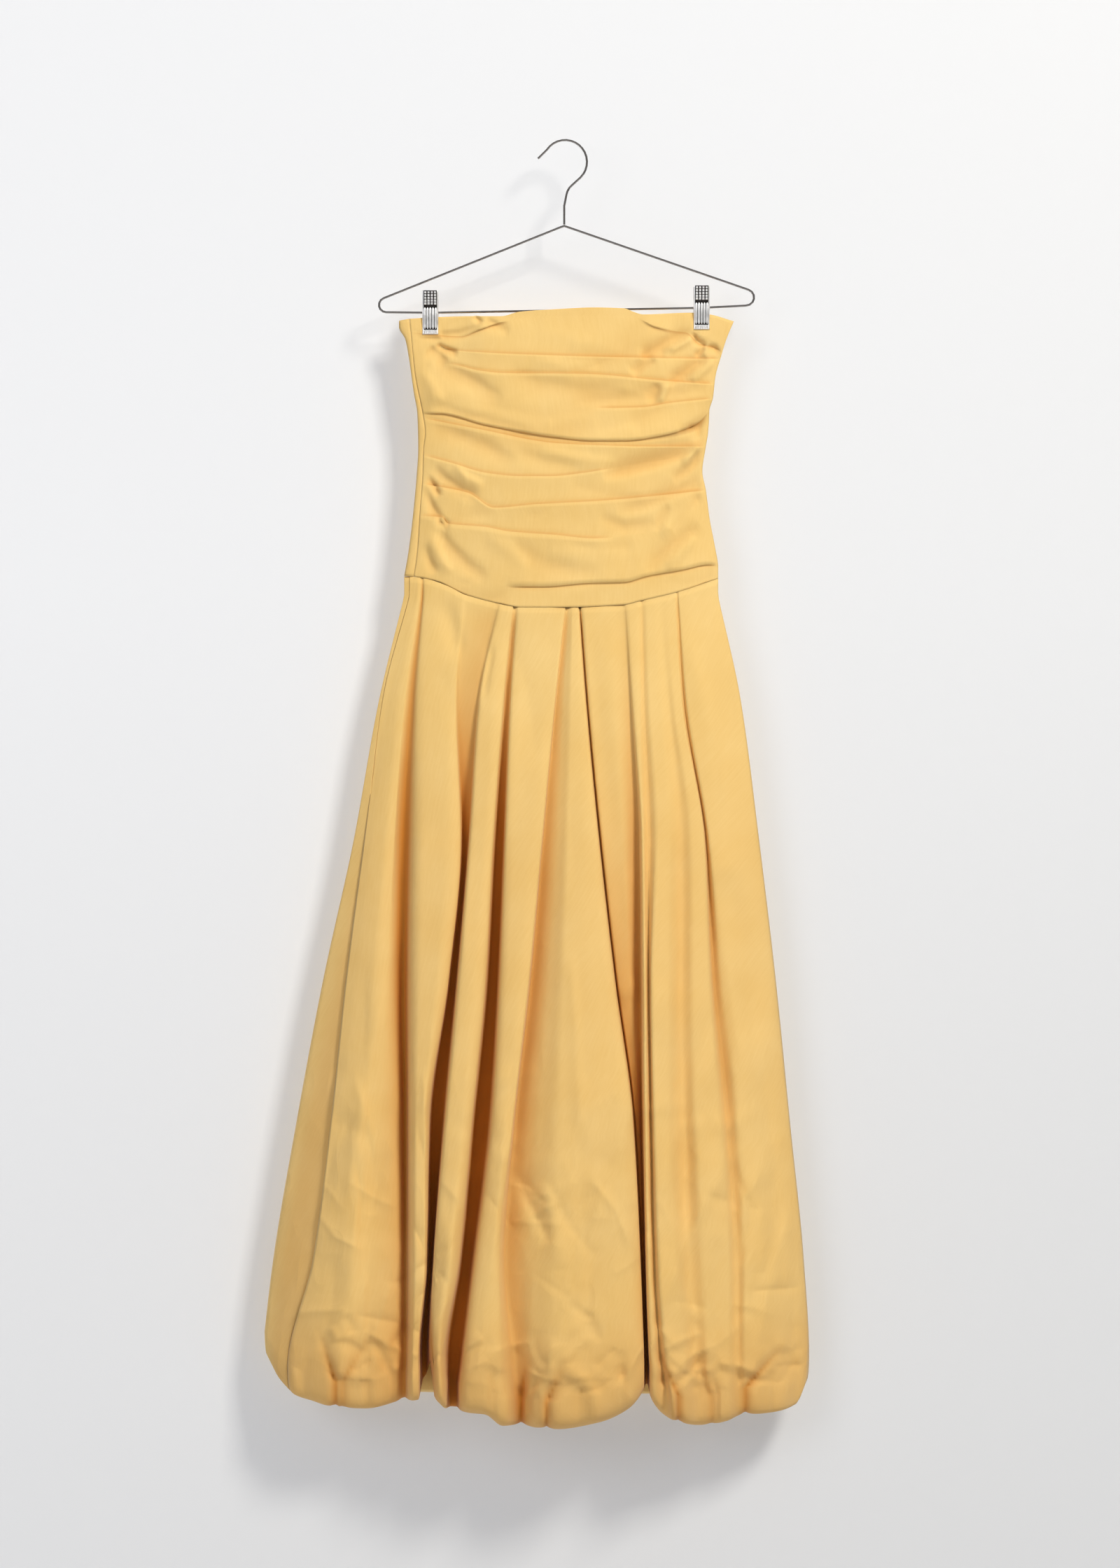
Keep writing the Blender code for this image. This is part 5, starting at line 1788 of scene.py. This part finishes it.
def repeated(name: str, shape: bpy.types.Mesh, tree: bpy.types.NodeTree,
             values: dict) -> bpy.types.Object:
    """Repeat a shape with a tree, and turn the result into a plain mesh.

    Args:
        name: The new piece's name.
        shape: The mesh that is repeated.
        tree: The tree from repeat_tree.
        values: The tree's inputs by name.

    Returns:
        The new piece.
    """
    maker = put(name + "_maker", shape)
    nodes = maker.modifiers.new("repeat", "NODES")
    nodes.node_group = tree
    for socket in tree.interface.items_tree:
        if socket.in_out == "INPUT" and socket.name in values:
            nodes[socket.identifier] = values[socket.name]
    seen = maker.evaluated_get(bpy.context.evaluated_depsgraph_get())
    mesh = bpy.data.meshes.new_from_object(seen)
    bpy.data.objects.remove(maker)
    mesh.name = name
    return put(name, mesh)


@dataclass
class ClipJaw:
    """One jaw of a clip, pressed from steel strip: studs above, ribs below, a toothed lip."""

    place: ClipPlace
    front: bool
    width: float = 18.4
    plate: float = 1.0
    edge_roll: float = 1.3
    # Distance from the bar's plane and height above the bar, of the outer face
    profile: tuple = ((-25.0, 4.1), (-16.5, 4.3), (-12.0, 4.9), (-3.0, 6.4), (4.0, 6.8),
                      (8.0, 7.4), (16.0, 8.7), (24.5, 9.7))
    strip_rows: int = 46
    # Columns of the strip: at these distances from each edge, and even ones between
    edge_columns: tuple = (0.0, 0.15, 0.5, 1.1)
    flat_columns: int = 7
    flat_inset: float = 2.2
    steepest: float = 0.995
    cheek: tuple = (1.2, 5.2, 7.0)
    cheek_set: float = 3.2
    cheek_rise: float = 5.4
    cheek_bevel: float = 0.4
    # Studs and teeth start this far inside the strip
    sunk: float = 0.05
    stud_columns: int = 4
    stud_rows: int = 5
    stud_pitch: float = 3.7
    stud_drop: float = 3.15
    stud_top: float = 22.3
    stud_half: float = 1.35
    stud_height: float = 0.75
    # Shares of its half width and height where a stud narrows, and of the width at its top
    stud_waist: tuple = (0.62, 0.8)
    stud_tip: float = 0.25
    ribs: int = 5
    rib_pitch: float = 3.1
    rib_radius: float = 1.34
    rib_flat: float = 0.42
    rib_top: float = 5.6
    rib_foot: float = -19.0
    rib_rows: int = 22
    rib_angles: int = 7
    # Shares of its radius, from either end
    rib_ends: tuple = (0.15, 0.7, 1.0)
    # A dark plate of painted shade lies over the strip, between the studs and between the ribs
    recess_half: float = 7.7
    recess_set: float = 0.12
    recess_rows: int = 34
    recess_past: tuple = (2.2, 0.8)
    recess_plate: float = 0.1
    teeth: int = 6
    tooth_pitch: float = 2.6
    tooth_half_share: float = 0.36
    # A tooth's ends above the strip's foot, and how far its foot stands out; then how far
    # its ridge stands out and stops short, at the foot and at the top
    tooth_span: tuple = (0.4, 4.4)
    tooth_out: float = 0.15
    ridge_out: tuple = (0.8, 0.75)
    ridge_short: tuple = (0.5, 0.9)

    @property
    def side(self) -> float:
        """Return -1 for the front jaw and 1 for the back one."""
        return -1.0 if self.front else 1.0

    def point(self, x: float, out: float, rise: float) -> tuple:
        """Return the place in metres that is x right, out from the bar's plane and rise above."""
        return ((self.place.x + x) * MM, self.side * out * MM, (self.place.bar + rise) * MM)

    def skin(self, name: str, across: np.ndarray, rise: np.ndarray, out: np.ndarray,
             thickness: float) -> bpy.types.Object:
        """Return a thin plate in the jaw's place.

        Args:
            name: Its name.
            across: Distance of each column to the right of the clip's middle.
            rise: Height of each row above the bar.
            out: Distance from the bar's plane, [rows, columns].
            thickness: Its thickness.

        Returns:
            The new piece.
        """
        x = np.broadcast_to(-self.side * across[None, :], out.shape) + self.place.x
        z = np.broadcast_to(rise[:, None], out.shape) + self.place.bar
        return shell(name, np.stack((x, self.side * out, z), axis=-1), thickness)

    def pressed(self, name: str, points: list, faces: list) -> bpy.types.Mesh:
        """Return the mesh of a small shape that is pressed into the strip.

        Args:
            name: Its name.
            points: Its points.
            faces: Its faces as they run on the front jaw.

        Returns:
            The mesh.
        """
        mesh = bpy.data.meshes.new(name)
        mesh.from_pydata(points, [], faces if self.front else [item[::-1] for item in faces])
        return mesh

    def strip(self, name: str) -> bpy.types.Object:
        """Make the bent strip, with its long edges rolled back and its two cheeks.

        Args:
            name: Its name.

        Returns:
            The new piece.
        """
        half = self.width / 2
        flat = half - self.flat_inset
        edge = [half - step for step in reversed(self.edge_columns)]
        across = np.concatenate(([-x for x in reversed(edge)],
                                 np.linspace(-flat, flat, self.flat_columns), edge))
        rolled = np.clip((np.abs(across) - (half - self.edge_roll)) / self.edge_roll, 0.0, 1.0)
        rolled = 1 - np.sqrt(1 - np.minimum(rolled, self.steepest)**2)
        rise = np.linspace(self.profile[-1][0], self.profile[0][0], self.strip_rows)
        out = SmoothLine(self.profile)(rise)[:, None] - self.edge_roll * rolled
        piece = self.skin(name, across, rise, out, self.plate)
        work = bmesh.new()
        work.from_mesh(piece.data)
        for side in (-1, 1):
            made = bmesh.ops.create_cube(work, size=1.0)["verts"]
            bmesh.ops.scale(work, vec=Vector(self.cheek) * MM, verts=made)
            middle = self.point(side * (half - self.cheek[0] / 2), self.cheek_set, self.cheek_rise)
            bmesh.ops.translate(work, vec=middle, verts=made)
            edges = list({edge for vert in made for edge in vert.link_edges})
            bmesh.ops.bevel(work, geom=edges, offset=self.cheek_bevel * MM, segments=2,
                            affect="EDGES")
        work.to_mesh(piece.data)
        work.free()
        piece.data.shade_smooth()
        return piece

    def stud(self) -> bpy.types.Mesh:
        """Make the first stud: a low four-sided point with a blunt top.

        Returns:
            Its mesh.
        """
        face = SmoothLine(self.profile)
        left = -self.stud_pitch * (self.stud_columns - 1) / 2
        rings = ((self.stud_half, -self.sunk),
                 (self.stud_half * self.stud_waist[0], self.stud_height * self.stud_waist[1]),
                 (self.stud_half * self.stud_tip, self.stud_height))
        points = []
        for size, height in rings:
            for dx, dz in ((-1, -1), (1, -1), (1, 1), (-1, 1)):
                rise = self.stud_top + dz * size
                points.append(self.point(left + dx * size, float(face(rise)) + height, rise))
        faces = [(8, 9, 10, 11)]
        for ring in (0, 4):
            faces += [(ring + k, ring + (k + 1) % 4, ring + 4 + (k + 1) % 4, ring + 4 + k)
                      for k in range(4)]
        return self.pressed("stud", points, faces)

    def rib(self) -> bpy.types.Mesh:
        """Make the first rib: a half-round bead that follows the strip, with blunt ends.

        Returns:
            Its mesh.
        """
        face = SmoothLine(self.profile)
        left = -self.rib_pitch * (self.ribs - 1) / 2
        points, faces = [], []
        rises = np.linspace(self.rib_top, self.rib_foot, self.rib_rows)
        for step, rise in enumerate(rises):
            end = min(step, self.rib_rows - 1 - step, len(self.rib_ends) - 1)
            radius = self.rib_radius * self.rib_ends[end]
            for angle in np.linspace(0.0, math.pi, self.rib_angles):
                out = float(face(rise)) + radius * self.rib_flat * math.sin(angle)
                points.append(self.point(left - radius * math.cos(angle), out, rise))
        count = self.rib_angles
        for row in range(self.rib_rows - 1):
            for k in range(count - 1):
                a = row * count + k
                faces.append((a, a + count, a + count + 1, a + 1))
        mesh = self.pressed("rib", points, faces)
        mesh.shade_smooth()
        return mesh

    def recess(self, name: str) -> bpy.types.Object:
        """Make the thin dark plate of painted shade that shows between the studs and between the
        ribs.

        Args:
            name: Its name.

        Returns:
            The new piece.
        """
        above, below = self.recess_past
        rise = np.linspace(self.stud_top + above, self.rib_foot - below, self.recess_rows)
        across = np.array((-self.recess_half, 0.0, self.recess_half))
        out = SmoothLine(self.profile)(rise)[:, None] + self.recess_set + 0 * across
        return self.skin(name, across, rise, out, self.recess_plate)

    def tooth(self) -> bpy.types.Mesh:
        """Make the first tooth of the lip: a small notch-edged point below the ribs.

        Returns:
            Its mesh.
        """
        left = -self.tooth_pitch * (self.teeth - 1) / 2
        half = self.tooth_pitch * self.tooth_half_share
        strip_foot, out = self.profile[0]
        foot, top = (strip_foot + rise for rise in self.tooth_span)
        points = [self.point(left - half, out - self.sunk, top),
                  self.point(left + half, out - self.sunk, top),
                  self.point(left + half, out + self.tooth_out, foot),
                  self.point(left - half, out + self.tooth_out, foot),
                  self.point(left, out + self.ridge_out[1], top - self.ridge_short[1]),
                  self.point(left, out + self.ridge_out[0], foot + self.ridge_short[0])]
        return self.pressed("tooth", points, [(4, 1, 0), (3, 5, 4, 0), (4, 5, 2, 1), (2, 5, 3)])

    def make(self, tree: bpy.types.NodeTree, finish: bpy.types.Material,
             dark: bpy.types.Material) -> None:
        """Build the jaw and what is pressed into it, and hand them over.

        Args:
            tree: The tree from repeat_tree.
            finish: The metal.
            dark: The dark metal laid in the recess, as painted shade.
        """
        where = "front" if self.front else "back"
        name = f"clip_{self.place.name}_{where}"
        hand_over(self.strip(name + "_strip"), finish, (name,))
        hand_over(self.recess(name + "_recess"), dark)
        face = SmoothLine(self.profile)
        fall = float(face(self.stud_top - self.stud_drop) - face(self.stud_top))
        next_row = (0.0, self.side * fall * MM, -self.stud_drop * MM)
        still = (0.0, 0.0, 0.0)
        for kind, shape, columns, rows, pitch, down in (
                ("studs", self.stud(), self.stud_columns, self.stud_rows, self.stud_pitch, next_row),
                ("ribs", self.rib(), self.ribs, 1, self.rib_pitch, still),
                ("teeth", self.tooth(), self.teeth, 1, self.tooth_pitch, still)):
            piece = repeated(f"{name}_{kind}", shape, tree, {
                "Columns": columns, "Rows": rows, "Across": (pitch * MM, 0.0, 0.0),
                "Down": down, "Finish": finish})
            hand_over(piece, finish)


@dataclass
class Hanger:
    """The hook, the frame of shoulders and bar, and the two clips."""

    wire: ChromedSteel
    strip: ChromedSteel
    shade: ChromedSteel

    def dress(self, nodes: dict) -> None:
        """Give the frame's own solids their finish, and build the clips' jaws.

        Args:
            nodes: The frame's solids by name.
        """
        chrome = self.wire.build()
        for name in ("hanger_hook", "hanger_frame", "clip_left_pin", "clip_right_pin"):
            node = nodes[name]
            node.data.materials.clear()
            node.data.materials.append(chrome)
            LOG.info("%s dressed", name)
        pressed, dark = self.strip.build(), self.shade.build()
        tree = repeat_tree()
        for place in CLIPS:
            for front in (True, False):
                ClipJaw(place, front).make(tree, pressed, dark)


@dataclass(frozen=True)
class Lamp:
    """A soft square light: its place, its aim, its side in metres, its watts and its colour."""

    name: str
    place: tuple
    aim: tuple
    size: float
    power: float
    colour: str


LAMPS = (
    Lamp("key", (2.0, -3.0, 2.0), (0.0, 0.0, -0.75), 0.9, 154.0, "#FFFBF2"),
    Lamp("fill", (-2.6, -4.2, 0.6), (0.0, 0.0, -0.8), 2.2, 48.0, "#FBFBFF"),
    Lamp("back", (-1.6, 3.0, 1.2), (0.0, 0.0, -0.8), 1.4, 85.0, "#FFFCF5"),
)


@dataclass
class Studio:
    """A white wall behind the dress, a pale floor out of view, and soft light."""

    wall_gap: float = 0.052
    floor_height: float = -1.72
    wall_width: float = 2.5
    wall_height: float = 2.35
    floor_size: float = 7.0
    # The camera: its sensor and lens in millimetres, and its sideways shift
    sensor: float = 36.0
    lens: float = 100.4
    shift: float = -0.0027
    # The room's own light grows from the floor's colour to the ceiling's over these heights
    room_floor: str = "#6E6F73"
    room_ceiling: str = "#FFFFFF"
    room_heights: tuple = (-0.6, 0.9)
    room_strength: float = 0.44

    def plane(self, name: str, corners: tuple, material: bpy.types.Material) -> bpy.types.Object:
        """Add a flat part of the stage.

        Args:
            name: Its name.
            corners: Its corners, counter-clockwise from its front.
            material: Its finish.

        Returns:
            The new object.
        """
        mesh = bpy.data.meshes.new(name)
        mesh.from_pydata(corners, [], [tuple(range(len(corners)))])
        mesh.materials.append(material)
        piece = put(name, mesh)
        return piece

    def light(self, lamp: Lamp) -> None:
        """Add a light.

        Args:
            lamp: The light.
        """
        area = bpy.data.lights.new(lamp.name, "AREA")
        area.size = lamp.size
        area.energy = lamp.power
        area.color = hex_to_linear(lamp.colour)[:3]
        item = put(lamp.name, area)
        item.location = lamp.place
        way = Vector(lamp.aim) - Vector(lamp.place)
        item.rotation_euler = way.to_track_quat("-Z", "Y").to_euler()

    def camera(self) -> None:
        """Add the camera at the viewing distance, level with the middle of the view."""
        lens = bpy.data.cameras.new("view")
        lens.sensor_fit = "AUTO"
        lens.sensor_width = self.sensor
        lens.lens = self.lens
        lens.shift_x = self.shift
        item = put("view", lens)
        item.location = (0.0, -VIEW_DISTANCE * MM, VIEW_HEIGHT * MM)
        item.rotation_euler = (math.pi / 2, 0.0, 0.0)
        bpy.context.scene.camera = item

    def room(self) -> None:
        """Add the light of the room round the stage."""
        world = bpy.data.worlds.new("room")
        world.use_nodes = True
        tree = world.node_tree
        background = tree.nodes["Background"]
        place = add_node(tree, "ShaderNodeTexCoord")
        parts = add_node(tree, "ShaderNodeSeparateXYZ", inputs={0: place.outputs["Generated"]})
        rise = add_node(tree, "ShaderNodeMapRange", inputs={
            "Value": parts.outputs["Z"], "From Min": self.room_heights[0],
            "From Max": self.room_heights[1]})
        sky = add_node(tree, "ShaderNodeMix", {"data_type": "RGBA"}, {
            0: rise.outputs["Result"], 6: hex_to_linear(self.room_floor),
            7: hex_to_linear(self.room_ceiling)})
        tree.links.new(sky.outputs[2], background.inputs["Color"])
        background.inputs["Strength"].default_value = self.room_strength
        bpy.context.scene.world = world

    def build(self) -> None:
        """Add the stage, the lights and the camera."""
        half, wall_y, floor = self.wall_width / 2, self.wall_gap, self.floor_height
        top = floor + self.wall_height
        # The wall glows with painted room light
        paint = PaintedWall("matt_wall_paint", "#C8C9CB", one_sided=True, painted_room_light=0.31)
        wall = self.plane("wall", ((-half, wall_y, floor), (half, wall_y, floor),
                                   (half, wall_y, top), (-half, wall_y, top)), paint.build())
        wall.visible_shadow = False
        wall.visible_diffuse = False
        half = self.floor_size / 2
        paint = PaintedWall("matt_floor_paint", "#C6C7C8", one_sided=False)
        self.plane("floor", ((-half, -half, floor), (half, -half, floor), (half, half, floor),
                             (-half, half, floor)), paint.build())
        self.room()
        for lamp in LAMPS:
            self.light(lamp)
        self.camera()
        bpy.context.scene.view_settings.view_transform = "Standard"


def main() -> None:
    """Dress the frame and set up the view."""
    logging.basicConfig(level=logging.INFO, format="%(name)s: %(message)s")
    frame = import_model()
    poplin = WovenCotton("mustard_cotton_poplin", light="#F3D28D", deep="#E2B766",
                         folded="#C47C26")
    lining = WovenCotton("beige_cotton_lining", light="#C9A283", deep="#BF9778",
                         folded="#9F7452", thread_mm=1.0)
    for part in (BodiceFront(poplin), BodiceBack(poplin), SkirtFront(poplin), SkirtBack(poplin),
                 HemLining(lining)):
        part.make()
    Hanger(ChromedSteel("chromed_steel_wire", "#AAA5A2"),
           ChromedSteel("chromed_steel_strip", "#FBFAFA", roughness=0.42),
           # The recess's dark metal is painted shade
           ChromedSteel("recess_painted_shade", "#3B3735", roughness=0.4)).dress(frame["nodes"])
    Studio().build()


if __name__ == "__main__":
    main()
